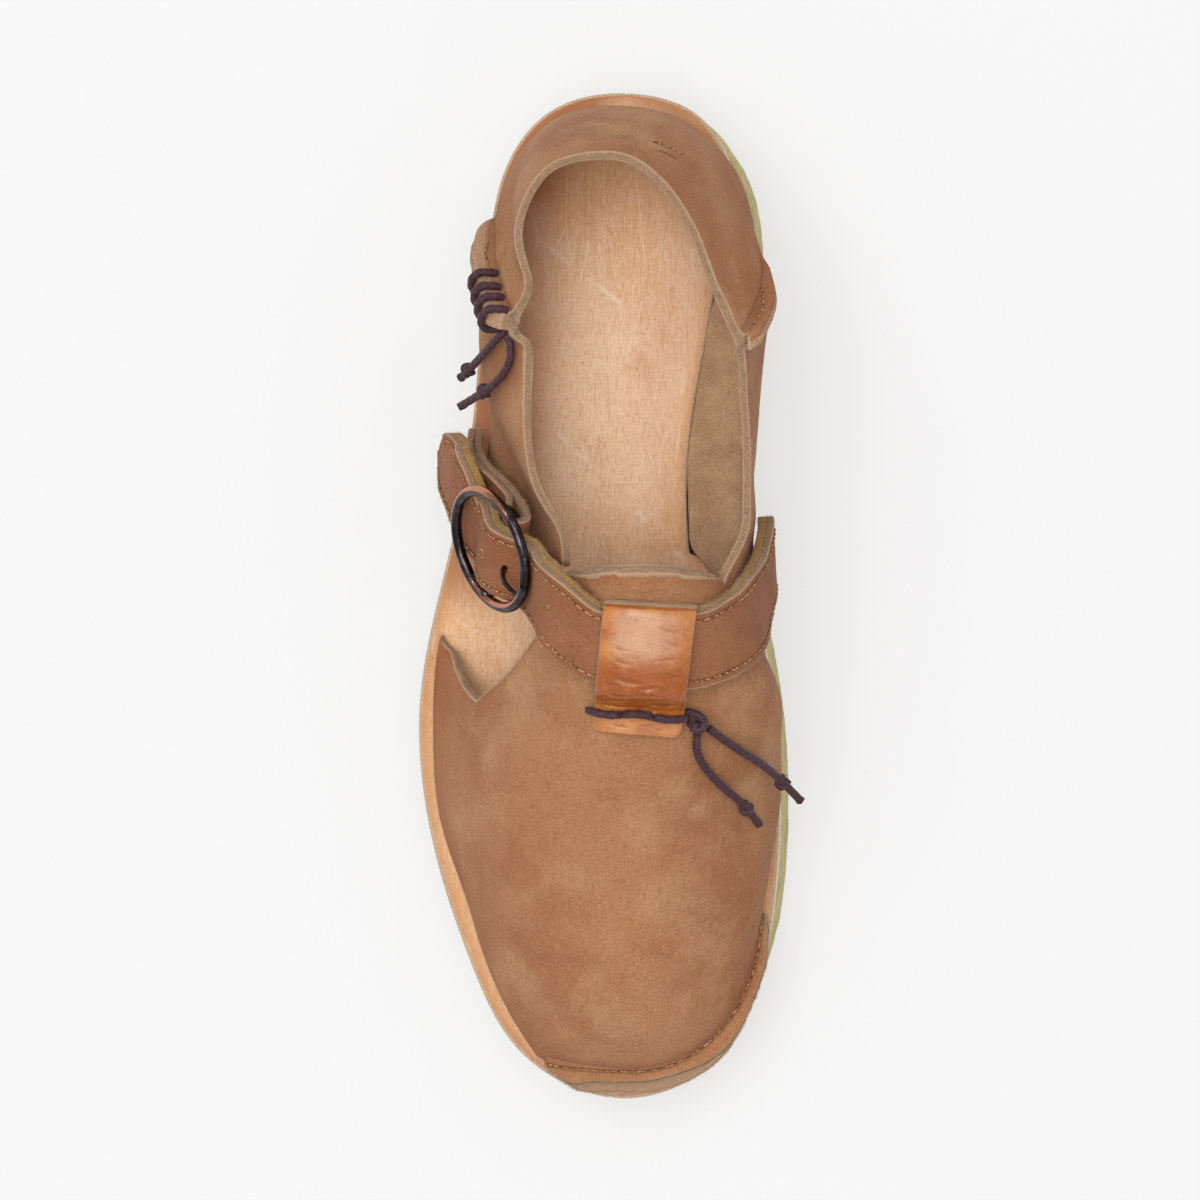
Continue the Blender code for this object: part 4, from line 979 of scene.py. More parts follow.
# Soft troughs and swells of the vamp and heel, in millimetres: from x, y, z, to x, y, z, width, depth
CREASES = [
    ((-30, -40, 45), (-8, -46, 62), 4.5, 0.5), ((20, -45, 66), (44, -52, 46), 5.0, 0.7),
    ((24, -62, 60), (46, -66, 38), 6.0, 0.6), ((-36, -62, 34), (-14, -76, 53), 6.0, 0.45),
    ((4, -70, 58), (28, -84, 53), 8.0, -0.5), ((-20, -98, 41), (6, -104, 48), 7.0, 0.4),
    ((14, -112, 43), (34, -98, 42), 6.0, 0.4), ((38, -28, 60), (47, -36, 44), 4.0, 0.8),
    ((41, -38, 55), (49, -44, 38), 3.5, 0.7), ((-16, 92, 62), (-27, 100, 44), 4.5, 0.7),
    ((14, 124, 70), (24, 118, 60), 4.0, 0.6), ((34, 96, 62), (44, 92, 44), 5.0, 0.8),
    ((38, 84, 58), (46, 80, 42), 4.0, 0.6), ((-26, 56, 60), (-33, 52, 42), 5.0, 0.5),
    ((-20, 34, 62), (-32, 30, 44), 5.0, 0.6), ((42, 40, 60), (43, 34, 42), 6.0, 0.6)]


def creased(points):
    """How far out each point goes."""
    move = 0.55 * noise(points, 26, 3) + 0.22 * noise(points, 9, 4)
    for start, end, width, depth in CREASES:
        a, b = np.array(start, float), np.array(end, float)
        t = np.clip(((points - a) @ (b - a)) / ((b - a) @ (b - a)), 0, 1)
        bend = np.stack([np.sin(t * math.pi) * 1.5, 0 * t, 0 * t], -1)
        away = np.linalg.norm(points - (a + t[:, None] * (b - a) + bend), axis=1)
        fade = 0.35 + 0.65 * np.sin(math.pi * np.clip(t, 0.02, 0.98))
        shape = np.exp(-(away / (0.5 * width)) ** 2) - 0.45 * np.exp(-((away - width) / (0.6 * width)) ** 2)
        move -= depth * fade * shape
    return move


def fuzz(roots, out, up, thick, count, seed, long=0.85, wide=0.09):
    """Loose fibres on a raw edge: points, faces, kinds. Each stands on one of the roots, somewhere across the cut."""
    rng = np.random.default_rng(seed)
    pick = rng.integers(0, len(roots), count)
    across = rng.uniform(-1, 1, count)
    along = unit(np.cross(out[pick], up[pick]) + 1e-9)
    root = roots[pick] + up[pick] * (across * thick[pick])[:, None] + along * rng.normal(0, 0.35, count)[:, None]
    root += out[pick] * (0.35 * np.sqrt(np.maximum(0, 1 - across**2)) - 0.05)[:, None]
    way = unit(out[pick] * rng.uniform(0.25, 1, count)[:, None]
               + up[pick] * (across + rng.normal(0, 0.5, count))[:, None]
               + along * rng.normal(0, 0.9, count)[:, None])
    bend = unit(rng.normal(0, 1, (count, 3)))
    size = long * rng.uniform(0.35, 1, count) ** 1.5
    side = unit(np.cross(way, bend)) * (wide * rng.uniform(0.6, 1.2, count))[:, None] / 2
    middle = root + way * (size * 0.5)[:, None] + bend * (size * 0.12)[:, None]
    tip = root + way * size[:, None] + bend * (size * 0.40)[:, None]
    points = np.stack([root - side, root + side, middle + side * 0.8, middle - side * 0.8, tip], 1).reshape(-1, 3)
    faces = []
    for i in range(count):
        a = i * 5
        faces += [(a, a + 1, a + 2, a + 3), (a + 3, a + 2, a + 4)]
    return points, faces, [0] * len(faces)


OUTER_SEAM_HALF = 2.1  # half the width of its cut face
INNER_SEAM_HALF = 1.9
# Raised seams: share of the outline, half width, levels between which they rise, share of the depth, and
# the level where they fall again
SEAMS = [(OUTER_SEAM, OUTER_SEAM_HALF, (0.10, 0.38), 0.94, 0.93),
         (INNER_SEAM, INNER_SEAM_HALF, (0.30, 0.72), 0.62, 0.90)]
SEAM_REACH = 34  # ribs on each side of a seam that it may raise
UPPER_FIBRES = 24000


def make_upper(outer, raw, inner):
    """The hollow wall with its two raised seams, and the loose fibres on its raw edges."""
    points, faces = fine_sheet()
    normal = point_normals(points, faces)
    if normal[np.argmax(points[:, 2])][2] < 0:
        normal = -normal
        faces = [f[::-1] for f in faces]
    ribs = len(UPPER_SHARES)
    grid = points[: ribs * LEVELS].reshape(ribs, LEVELS, 3)
    levels = np.linspace(0, 1, LEVELS)
    lift, top, seam_foot_shade = np.zeros_like(points), np.zeros(len(points)), np.zeros(len(points))
    for seam, half, stands, scale, ends_at in SEAMS:
        number = int(np.argmin(np.abs(UPPER_SHARES - seam)))
        line, _, _, out, _ = seam_frames(seam, levels)
        near = np.arange(max(0, number - SEAM_REACH), number + SEAM_REACH + 1)
        across = np.sign(near - number)[:, None] * np.linalg.norm(grid[near] - grid[number], axis=2)
        depth = SEAM_DEPTH * scale * step(*stands, levels) * (1 - 0.45 * step(ends_at, 1.0, levels) ** 2)
        wave = 1 + 0.06 * noise(line, 7, 8) + 0.05 * noise(line, 2.6, 9)
        wide = np.abs(across)
        high = step(half + 0.3, half - 0.1, wide) + 0.10 * step(6.5, half, wide)
        high -= (0.09 * np.exp(-(((wide - 0.05) / 0.26) ** 2))
                 + 0.06 * step(half - 0.7, half, wide) * (wide < half + 0.1))
        rise = (depth * wave)[None] * high
        place = (near[:, None] * LEVELS + np.arange(LEVELS)[None]).ravel()
        lift[place] += (rise[..., None] * out[None]).reshape(-1, 3)
        front = step(-0.3, 0.5, across) if seam == INNER_SEAM else 1
        cut_face = step(half + 0.35, half - 0.15, wide) * step(0.5, 1.6, depth)[None] * front
        foot = np.exp(-(((wide - half - 0.65) / 0.5) ** 2)) * step(0.6, 1.6, depth)[None]
        top[place] = np.maximum(top[place], cut_face.ravel())
        seam_foot_shade[place] = np.maximum(seam_foot_shade[place], foot.ravel())
    soft = creased(points)
    edges = free_edges(faces)
    rim = sorted({v for e in edges for v in e})
    # how far each point is from the free edges, along the sheet
    ends = KDTree(len(rim))
    for number, v in enumerate(rim):
        ends.insert(points[v], number)
    ends.balance()
    found = [ends.find(p) for p in points]
    far = np.array([f[2] for f in found])
    nearest = np.array([f[1] for f in found])
    soft *= step(0.0, 9.0, far)
    thick = LEATHER / 2 * (1 - 0.10 * step(1.2, 0.0, far))
    fine = 0.05 * noise(points, 1.6, 6)
    outside = points + normal * (thick + soft + fine)[:, None] + lift
    inside = points - normal * (thick - soft * 0.8)[:, None]
    count = len(points)
    new_faces = faces + [tuple(v + count for v in f[::-1]) for f in faces]
    kinds = [0] * len(faces) + [2] * len(faces)
    # the raw edge: away from the sheet at each free point, with the points of a half round
    away = {v: np.zeros(3) for v in rim}
    for a, b in edges:
        along = unit(points[b] - points[a] + 1e-9)
        for v in (a, b):
            away[v] += np.cross(along, normal[v])
    index = {v: i for i, v in enumerate(rim)}
    push = np.array([unit(away[v] + 1e-12) for v in rim])
    base = points[rim]
    rounded = []
    ragged = 0.18 * noise(base, 0.8, 21) + 0.34 * noise(base, 2.6, 22)
    slant = (1.95 + 0.45 * noise(base, 3.7, 26) + 0.3 * noise(base, 1.2, 27)) * step(0.35, 0.8, normal[rim][:, 2])
    slant *= step(125.5, 122, -base[:, 1]) * step(-43, -36, base[:, 0]) * (1 + 0.50 * step(64, 72, base[:, 2]))
    reach = 2.0 * step(64, 72, base[:, 2]) * step(40, 20, np.abs(base[:, 0] - 8)) * step(-30, -22, base[:, 1])
    near = np.clip(1 - far / 4.5, 0, 1)[:, None]
    outside -= (push * (slant - reach)[:, None])[nearest] * near
    inside += (push * reach[:, None])[nearest] * near
    for k in range(ROUNDS):
        turn = math.pi * (k + 1) / (ROUNDS + 1)
        bulge = 0.42 + ragged + 0.10 * noise(base + k * 3.7, 0.7, 23)
        away_by = bulge * math.sin(turn) ** 0.7 - slant * (1 - turn / math.pi) ** 1.2 + reach
        rounded.append(base + normal[rim] * (math.cos(turn) * thick[rim])[:, None]
                       + lift[rim] * (0.5 + 0.5 * math.cos(turn)) + push * away_by[:, None])
    for edge_points in edges:
        chain_a, chain_b = ([v, *(2 * count + k * len(rim) + index[v] for k in range(ROUNDS)), v + count]
                            for v in edge_points)
        for k in range(ROUNDS + 1):
            new_faces.append((chain_b[k], chain_a[k], chain_a[k + 1], chain_b[k + 1]))
            kinds.append(1)
    everything = np.vstack([outside, inside, *rounded])
    tone_and_painted_shade, dark, pale, cut = np.zeros((4, len(everything)))
    is_vamp = np.arange(count) >= grid.shape[0] * LEVELS
    # Painted shade low down by the footbed and on the inner side of the heel, over patches of tone that also darken
    # by the vamp's free edges.
    low = step(36, 24, points[:, 2]) * 0.35
    patches = 0.5 + 0.5 * noise(points, 30, 11)
    tone_and_painted_shade[:count] = np.clip(0.18 * patches + low + 0.22 * step(60, 105, points[:, 1]) * step(14, 30, points[:, 0])
                           - 0.16 * step(112, 128, points[:, 1])
                           + 0.42 * step(3.0, 0.6, far) * is_vamp * 0.6, 0, 0.8)
    # Painted shade at the foot of the raised seams, where they meet the wall.
    dark[:count] = 0.42 * seam_foot_shade * (1 - top)
    cut[:count] = top
    for k in (0, ROUNDS - 1):
        pale[2 * count + k * len(rim) : 2 * count + (k + 1) * len(rim)] = 0.75
    made = build("upper_leather", everything, new_faces, [outer, raw, inner], kinds,
                 {"tone_and_painted_shade": tone_and_painted_shade, "dark": dark, "rim": pale, "cut": cut})
    hair = fuzz(base - push * (slant * 0.45 - reach)[:, None], push, normal[rim], thick[rim], UPPER_FIBRES, 71, 1.15)
    return made, hair


# ---------------------------------------------------------------- the sole

RUNGS = 300  # sections across a layer of the sole, from heel to toe


def plate(lower, upper, flare=0.0, cut_in=None, bevel=0.5, wall=5, over_top=17, rough=0.0, seed=0,
          inset_in=0.0, inset_until=(30, 60), more_in=0.0):
    """A layer of the sole: points, faces, kinds (0 top and bottom, 1 wall) and how far each point is from the rim."""
    turn = np.linspace(0, math.pi, RUNGS + 1)
    shares = (0.5 * (turn / math.pi - 0.35 * np.sin(2 * turn) / (2 * math.pi)))[1:-1]
    shares = np.sort(np.concatenate([shares, np.linspace(0.0004, 0.004, 4), 0.5 - np.linspace(0.0004, 0.004, 4)]))
    if cut_in is not None:
        extra = np.concatenate([np.linspace(0.086, 0.103, 16), np.linspace(0.222, 0.243, 22)])
        shares = np.sort(np.concatenate([shares, [s for s in extra if np.abs(shares - s).min() > 0.0004]]))
    shares = shares[np.concatenate([[True], np.diff(shares) > 2e-4])]

    def at(side, inset, cut):
        point = edge(side, inset)[0][0]
        if inset_in and side < 0.5:
            inset = inset + inset_in * step(139, 122, point[1]) * step(*inset_until, point[1])
            point = edge(side, inset)[0][0]
        if cut:
            more = np.interp(-point[1], [-row[0] for row in cut_in], [row[1] for row in cut_in])
            point = edge(side, more + inset)[0][0]
        return point

    sections, far = [], []
    for s in shares:
        section, rims = [], []

        def bevelled(side, cut, turns):
            for a in turns:
                place = at(side, bevel * (1 - math.cos(a)), cut)
                section.append((*place, upper(place[1])[0] - bevel * (1 - math.sin(a))))

        def down(rim):
            for place, t in rim:
                section.append((*place, (upper(place[1])[0] - bevel) * (1 - t) + lower(place[1])[0] * t))

        for side, cut in ((s, cut_in is not None), (1 - s, False)):
            y = at(side, 0.0, cut)[1]
            wide = flare
            if more_in and side < 0.5:
                wide += 0.9 * step(136, 118, y) * step(40, 78, y) + more_in * step(30, -20, y) * step(-116, -84, y)
            rims.append([(at(side, -wide * t, cut), t) for t in np.linspace(0, 1, wall)])
        inner_rim, outer_rim = rims
        top_in, top_out = at(s, bevel, cut_in is not None), at(1 - s, bevel, False)
        gap = []
        for t in 0.5 - 0.5 * np.cos(np.linspace(0, math.pi, over_top)):
            place = top_in * (1 - t) + top_out * t
            section.append((*place, upper(place[1])[0]))
            gap.append(min(t, 1 - t) * np.linalg.norm(top_out - top_in))
        bevelled(1 - s, False, np.linspace(math.pi / 2, 0, 4)[1:])
        down(outer_rim[1:])
        for t in (0.25, 0.5, 0.75):
            place = outer_rim[-1][0] * (1 - t) + inner_rim[-1][0] * t
            section.append((*place, lower(place[1])[0]))
        down(inner_rim[::-1])
        bevelled(s, cut_in is not None, np.linspace(0, math.pi / 2, 4)[1:-1])
        sections.append(section)
        far.append(gap + [0] * (len(section) - len(gap)))
    corners = len(sections[0])
    kinds = [0] * (over_top - 1) + [1] * (corners - over_top + 1)
    points, faces, looks = skin(sections, kinds)
    far = capped(far)
    if rough:
        way = unit(points * (1, 0.35, 0) + 1e-9)
        points = points + way * ((far < 0.01) * rough * noise(points, 2.2, seed))[:, None]
    return points, turned_out(points, faces), looks, far


def make_sole():
    """The footbed, the board under it and the outsole."""
    low, high = lambda y: footbed_top(y) - FOOTBED, footbed_top
    points, faces, kinds, far = plate(low, high, cut_in=[(y, max(0, d - 1.3)) for y, d in ARCH_CUT], bevel=0.85,
                                      over_top=33, seed=3, inset_in=2.3, inset_until=(97, 104))
    x, y = points[:, 0], points[:, 1]
    rimmed = np.clip(step(6.0, 0.5, far) * 0.75 + step(-24, -38, x) * 0.25 + step(95, 130, y) * 0.55, 0, 1)
    toe = step(-104, -132, y)
    # Wear at the toe and along the rim, then painted shade near the walls at the back, most along the outer wall,
    # under the edge of the tongue and round the heel.
    wear_and_painted_shade = np.clip(0.55 * toe * (0.6 + 0.4 * noise(points, 9, 2)) + 0.35 * step(3.4, 0.2, far), 0, 0.8)
    deep = (step(27, 7, far) * step(-8, 10, y) * (0.30 + 0.90 * step(6, -16, x))
            + 0.5 * step(18, -4, y) * step(-16, -4, x) + 0.75 * step(20, 3, far) * step(112, 132, y))
    wear_and_painted_shade = np.clip(np.maximum(wear_and_painted_shade, 0.80 * deep * (0.8 + 0.2 * noise(points, 12, 14))), 0, 0.8)
    points[:, 2] += np.where(far > 2, 0.16 * noise(points, 24, 5) - 0.16, 0)
    looks = [streaked_leather(), raw_edge("footbed_edge", (232, 206, 174), (188, 146, 106))]
    bed = build("footbed_leather", points, faces, looks, kinds,
                {"rimmed": rimmed, "wear_and_painted_shade": wear_and_painted_shade, "rim": np.zeros(len(points))})
    finish_piece(bed, "footbed_leather", "footbed")
    points, faces, kinds, far = plate(
        lambda y: footbed_top(y) - FOOTBED - MIDSOLE + GAP / 2, lambda y: footbed_top(y) - FOOTBED - GAP * 0.4,
        flare=0.3, bevel=0.3, wall=3, over_top=25, rough=0.08, seed=9, inset_in=2.1)
    # Painted shade over the board away from its rim, where it lies under the footbed.
    middle = build("midsole_board", points, faces, [board()], None, {"dark": 0.94 * step(2.6, 4.2, far)})
    finish_piece(middle, "midsole_board", "midsole")
    points, faces, kinds, far = plate(
        lambda y: underside(y).reshape(-1), lambda y: footbed_top(y) - FOOTBED - MIDSOLE - GAP * 0.1,
        flare=0.45, bevel=0.7, wall=12, over_top=9, rough=0.16, seed=7, more_in=1.9)
    points[:, 2] = np.maximum(points[:, 2], underside(points[:, 1]).reshape(-1))
    crepe = build("crepe_sole", points, faces, [crepe_rubber()])
    finish_piece(crepe, "crepe_rubber", "outsole")


# ---------------------------------------------------------------- seams and stitches

def stitch(start, end, out, radius=0.3, sink=0.25):
    """One thread between two holes, which dips into the leather at both."""
    start, end, out = (np.asarray(v, float) for v in (start, end, out))
    line = [start - out * 0.9, start - out * sink * 0.2, start * 0.78 + end * 0.22 + out * radius * 0.75,
            (start + end) / 2 + out * radius * 0.95, start * 0.22 + end * 0.78 + out * radius * 0.75,
            end - out * sink * 0.2, end - out * 0.9]
    return rod(through(line, np.linspace(0, 1, 13)), radius, 8, False)


def hole(place, out, radius=0.5):
    """A dark disc that lies just above a surface, for a hole's shadow."""
    out = unit(out)
    side = unit(np.cross(out, (0.31, 0.22, 0.93)))
    high = np.cross(out, side)
    turns = np.linspace(0, 2 * math.pi, 12, endpoint=False)
    ring = [place + side * radius * 0.8 * math.cos(t) + high * radius * math.sin(t) + out * 0.04 for t in turns]
    return np.array([place, *ring]), [(0, 1 + j, 1 + (j + 1) % 12) for j in range(12)], [1] * 12


def stitch_row(places, outs, pitch, gap=0.55, radius=0.38, seed=0):
    """A row of stitches along places, pressed into a surface that faces outs."""
    run = distances(places)
    count = max(1, round(run[-1] / pitch))
    parts = []
    for number in range(count):
        jitter = 0.12 * math.sin(number * 12.9898 + seed * 4.1) * pitch
        a, b = np.array([number, number + 1]) * run[-1] / count + (gap + jitter * 0.4, -gap + jitter * 0.4)
        ends = [read_at(place, run, places) for place in (a, b)]
        way = unit(read_at((a + b) / 2, run, outs))
        parts.append(stitch(*ends, way, radius))
        parts += [hole(end, way, radius * 1.5) for end in ends]
    return parts


def toe_line(angles):
    """Along the toe seam: places on the wall's foot, and the flat way out from it."""
    line = np.array([vamp_point(9, a) for a in angles])
    along = unit(np.gradient(line, axis=0) * (1, 1, 0))
    out = np.stack([along[:, 1], -along[:, 0], 0 * along[:, 0]], 1)
    if out[len(out) // 2, 1] > 0:
        out = -out
    return line, out


def make_toe_seam(outer, raw):
    """The turned-out foot of the vamp: two layers stitched together, with a wavy raw edge."""
    angles = np.linspace(87, -67, 330)
    line, out = toe_line(angles)
    first, last = angles[0], angles[-1]
    taper = np.interp(angles, (last, last + 10, last + 32, first - 16, first - 4, first),
                      (0.22, 0.46, 1, 1, 0.80, 0.5))
    taper *= 1 + 0.045 * noise(line, 14, 4)
    front = step(74, 34, np.abs(angles + 6))
    deep = (TOE_SEAM_DEPTH + 0.5 + 1.2 * front) * taper * (1 - 0.26 * step(28, 60, angles))
    front = step(52, 18, np.abs(angles + 2))  # where the lower layer shows beyond the upper one
    wave = 0.5 + 0.5 * noise(line, 11, 12)
    short = taper * (0.45 + 2.9 * front * (0.72 + 0.28 * wave)) + 0.10 * noise(line, 1.6, 3)
    groove = 1.35  # how far out the stitches lie
    rows = []
    for place, way, d, cutback, full in zip(line, out, deep, short, taper):
        cutback = min(cutback, 0.5 * d)
        fall = 1.3 * (1 - min(1, full))
        profile = [(-0.9, 0.0), (-0.9, 4.3 - fall)]
        # the vamp's own layer: down the wall, over the groove of the stitches, out to its cut
        profile += [(-0.35, 5.05 - fall), (0.35, 4.95 - fall), (0.85, 4.68 - 0.5 * fall), (groove - 0.35, 4.35),
                    (groove, 4.18), (groove + 0.4, 4.4), (groove + 0.8, 4.68)]
        tip = d - cutback
        for t in (0.35, 0.7):
            profile.append((groove + 0.8 + (tip - 0.35 - groove - 0.8) * t, 4.75))
        profile += [(tip - 0.32, 4.68), (tip - 0.1, 4.5), (tip + 0.02, 4.2), (tip + 0.06, 3.6), (tip, 2.95),
                    (tip - 0.1, 2.62)]
        # the lower layer
        for t in (0.3, 0.65):
            swell = (0.5 if t < 0.5 else 0.25) * (d - tip > 1.5)
            profile.append((tip - 0.1 + (d - 0.3 - tip + 0.1) * t, 2.62 + swell))
        profile += [(d - 0.3, 2.5), (d - 0.05, 2.3), (d + 0.02, 1.8), (d + 0.03, 1.1), (d - 0.05, 0.4),
                    (d - 0.3, 0.12), (d * 0.5, 0.0)]
        rows.append([place * (1, 1, 0) + way * o
                     + np.array([0, 0, footbed_top((place + way * o)[1])[0] + GAP + 0.2 + h]) for o, h in profile])
    sections = np.array(rows)
    number = np.arange(sections.shape[1])
    is_raw = (number >= 11) & (number < 22)
    is_top = (number >= 2) & (number < 12)
    wobble = noise(sections, 0.8, 31) * 0.13 + noise(sections, 2.4, 33) * 0.12
    sections = sections + out[:, None] * (is_raw * wobble)[..., None]
    sections[..., 2] += is_top * (0.14 * noise(sections, 6, 37) + 0.05 * noise(sections, 1.7, 38))
    points, faces, kinds = skin(sections, is_raw.astype(int))
    marks = {}
    # Marks: pale rims of the raw edge, painted shade in the groove of the stitches and on the wall's top just above
    # it, and a little more tone on the top layer.
    for key, spans in (("rim", ((11, 13, 0.30), (17, 20, 0.35))), ("dark", ((5, 8, 0.30), (3, 5, 0.12))),
                       ("tone_and_painted_shade", ((2, 12, 0.10),))):
        amount = np.zeros(sections.shape[:2])
        for first, last, value in spans:
            amount[:, first:last] = value
        marks[key] = capped(amount)
    made = build("toe_seam", points, turned_out(points, faces), [outer, raw], kinds, marks)
    stitched = even(sections[4:-4, 6] + np.array([0, 0, 0.10]), 0.3)
    rows = stitch_row(stitched, np.tile((0.0, 0.0, 1.0), (len(stitched), 1)), 4.0, 0.55, 0.30, 2)
    up = np.tile((0.0, 0.0, 1.0), (len(line), 1))
    edges = [(roots, out, up, np.full(len(line), thick), 3600, seed)
             for roots, thick, seed in ((sections[:, 12:21].mean(1), 1.6, 95), (sections[:, 19], 1.2, 96))]
    return made, rows, edges


# ---------------------------------------------------------------- strap, chape, buckle

STRAP_HOLES = [(-10.8, -2.8), (-30.6, 12.0)]  # x, y of the strap's punched holes
STRAP_TIP = 8.2  # the length over which its free end narrows
GROOVE = 2.1  # from the strap's edge to its stitches
PITCH = 3.0  # of those stitches


def band(middle, out, wide, half, layers, seed):
    """A strap of two layers, inner one first, along frames: sections, kinds, its pale marks and its dark marks of
    painted shade in the stitch grooves.
    """
    total, lower = sum(layers), layers[0]
    run = distances(middle)
    spots = np.unique(np.concatenate([np.linspace(0.45, 2 * GROOVE, 9), [GROOVE]]))
    # corners of a section: part, side, distance in from that side or share of the width, height
    tops = [(-1, s) for s in spots] + [(0, t) for t in np.linspace(-0.6, 0.6, 7)] + [(1, s) for s in spots[::-1]]
    cut = [(0.12, total - 0.18), (0.0, total - 0.5), (0.0, lower + 0.55), (0.10, lower + 0.12), (0.30, lower),
           (0.10, lower - 0.12), (0.0, lower - 0.5), (0.0, 0.5), (0.12, 0.16)]
    ring = [("top", side, where, 0) for side, where in tops] + [("edge", 1, *row) for row in cut]
    ring += [("low", 1, 0.45, 0)] + [("low", 0, t, 0) for t in (0.6, 0.2, -0.2, -0.6)] + [("low", -1, 0.45, 0)]
    ring += [("edge", -1, *row) for row in cut[::-1]]
    sections = np.zeros((len(middle), len(ring), 3))
    pale, dark = np.zeros((2, len(middle), len(ring)))
    for j, (part, side, where, height) in enumerate(ring):
        flat = 2 if part == "low" else 2 * GROOVE  # how much of each side the shares of the width leave out
        across = side * (half - where) if side else where * (half - flat)
        high = np.full(len(middle), float(height))
        if part == "top":
            gap = half - np.abs(across)
            press = 0.55 + 0.45 * np.cos(2 * math.pi * run / PITCH) ** 2
            high = total + 0.04 - 0.16 * np.exp(-((gap - 0.1) / 0.5) ** 2)
            high = high - 0.24 * np.exp(-((gap - GROOVE) / 0.42) ** 2) * press
            high = high + 0.10 * np.exp(-((gap - GROOVE * 0.45) / 0.5) ** 2)
            # Painted shade in the groove of the stitches.
            dark[:, j] = 0.30 * np.exp(-((gap - GROOVE) / 0.35) ** 2)
        place = middle + wide * across[:, None] + out * high[:, None]
        if part == "top":
            place = place + out * (0.12 * noise(place, 7, seed) + 0.35 * 0.12 * noise(place, 1.8, seed + 1))[:, None]
        if part == "edge":
            ragged = 0.11 * noise(place, 0.8, seed + 2) + 0.13 * noise(place, 3, seed + 3)
            place = place + wide * (side * ragged)[:, None]
            pale[:, j] = 0.75 if height > total - 0.3 else 0.0
        sections[:, j] = place
    kinds = [0 if part == "top" else 3 if part == "low" else 1 if height > lower else 2
             for part, _, _, height in ring]
    # the last top corner leads into the edge
    kinds[len(tops) - 1] = 1
    return sections, kinds, pale, dark


def make_strap(outer, raw, ochre, flesh, upper, upper_and_chape):
    """The instep strap with its stitches and holes, and the places for its loose fibres."""
    steps = 300
    layers = (2.25, 2.35)
    middle, out, wide = strap_frames(upper, steps)
    coarse = np.unique(np.round(np.linspace(0, steps - 1, 100)).astype(int))
    middle = middle + out * pushed_clear(upper_and_chape, middle, out, wide, STRAP_WIDTH / 2, coarse, 6)
    run = distances(middle)
    left = run[-1] - run  # to the strap's free end
    half = STRAP_WIDTH / 2 * (0.40 + 0.60 * np.clip(left / STRAP_TIP, 0, 1) ** 0.85)
    half = np.where(left < STRAP_TIP, half, STRAP_WIDTH / 2)
    sections, kinds, pale, dark = band(middle, out, wide, half, layers, 41)
    points, faces, looks = skin(sections, kinds)
    looks = [1 if k == kinds[-1] and n >= len(looks) - len(kinds) else k for n, k in enumerate(looks)]
    marks = {"rim": capped(pale), "dark": capped(dark), "tone_and_painted_shade": np.zeros(len(points))}
    made = build("strap_leather", points, turned_out(points, faces), [outer, raw, ochre, flesh], looks, marks)
    parts = []
    top = out * (sum(layers) - 0.10)
    begin, end = 6, int(np.searchsorted(-left, -2.4))
    for side in (1, -1):
        line = middle + wide * (side * (half - GROOVE))[:, None] + top
        parts += stitch_row(line[begin:end], out[begin:end], PITCH, 0.36, 0.27, 3 + side)
    tip = end - 1
    across = np.array([middle[tip] + wide[tip] * t + top[tip]
                       for t in np.linspace(half[tip] - GROOVE, GROOVE - half[tip], 12)])
    parts += stitch_row(across, np.tile(out[tip], (12, 1)), PITCH, 0.36, 0.27, 9)
    for x, y in STRAP_HOLES:
        at = int(np.argmin(np.hypot(middle[:, 0] + out[:, 0] * 4.6 - x, middle[:, 1] + out[:, 1] * 4.6 - y)))
        parts.append(eyelet(middle[at] + out[at] * (sum(layers) - 0.02), out[at]))
    thick = sum(layers) / 2
    edges = [(middle + wide * (side * half)[:, None] + out * thick, wide * side, out, np.full(steps, thick),
              4200, 81 + side) for side in (1, -1)]
    return made, parts, edges


def eyelet(place, out, radius=1.15):
    """A punched hole: a pale rolled lip round a disc of painted shadow for its pit."""
    out = unit(out)
    side = unit(np.cross(out, (0.3, 0.9, 0.1)))
    high = np.cross(out, side)
    turns = np.linspace(0, 2 * math.pi, 25)[:-1]
    line = np.array([place + side * radius * math.cos(t) + high * radius * math.sin(t) for t in turns])
    ways = np.array([side * math.cos(t) + high * math.sin(t) for t in turns])
    lip = ((0.34, 0.02), (0.14, 0.20), (-0.18, 0.12), (-0.26, -0.5))  # how far out and up
    points, faces, kinds = skin(np.stack([line + ways * a + out * b for a, b in lip], 1), [0] * 4, closed=True)
    # The pit: a dark disc of painted shadow just above the strap.
    pit = [place + out * 0.03 + side * (radius - 0.1) * math.cos(t) + high * (radius - 0.1) * math.sin(t)
           for t in turns]
    start = len(points)
    faces += [(start + 24, start + j, start + (j + 1) % 24) for j in range(24)]
    return np.vstack([points, pit, [place + out * 0.03]]), faces, kinds + [1] * 24


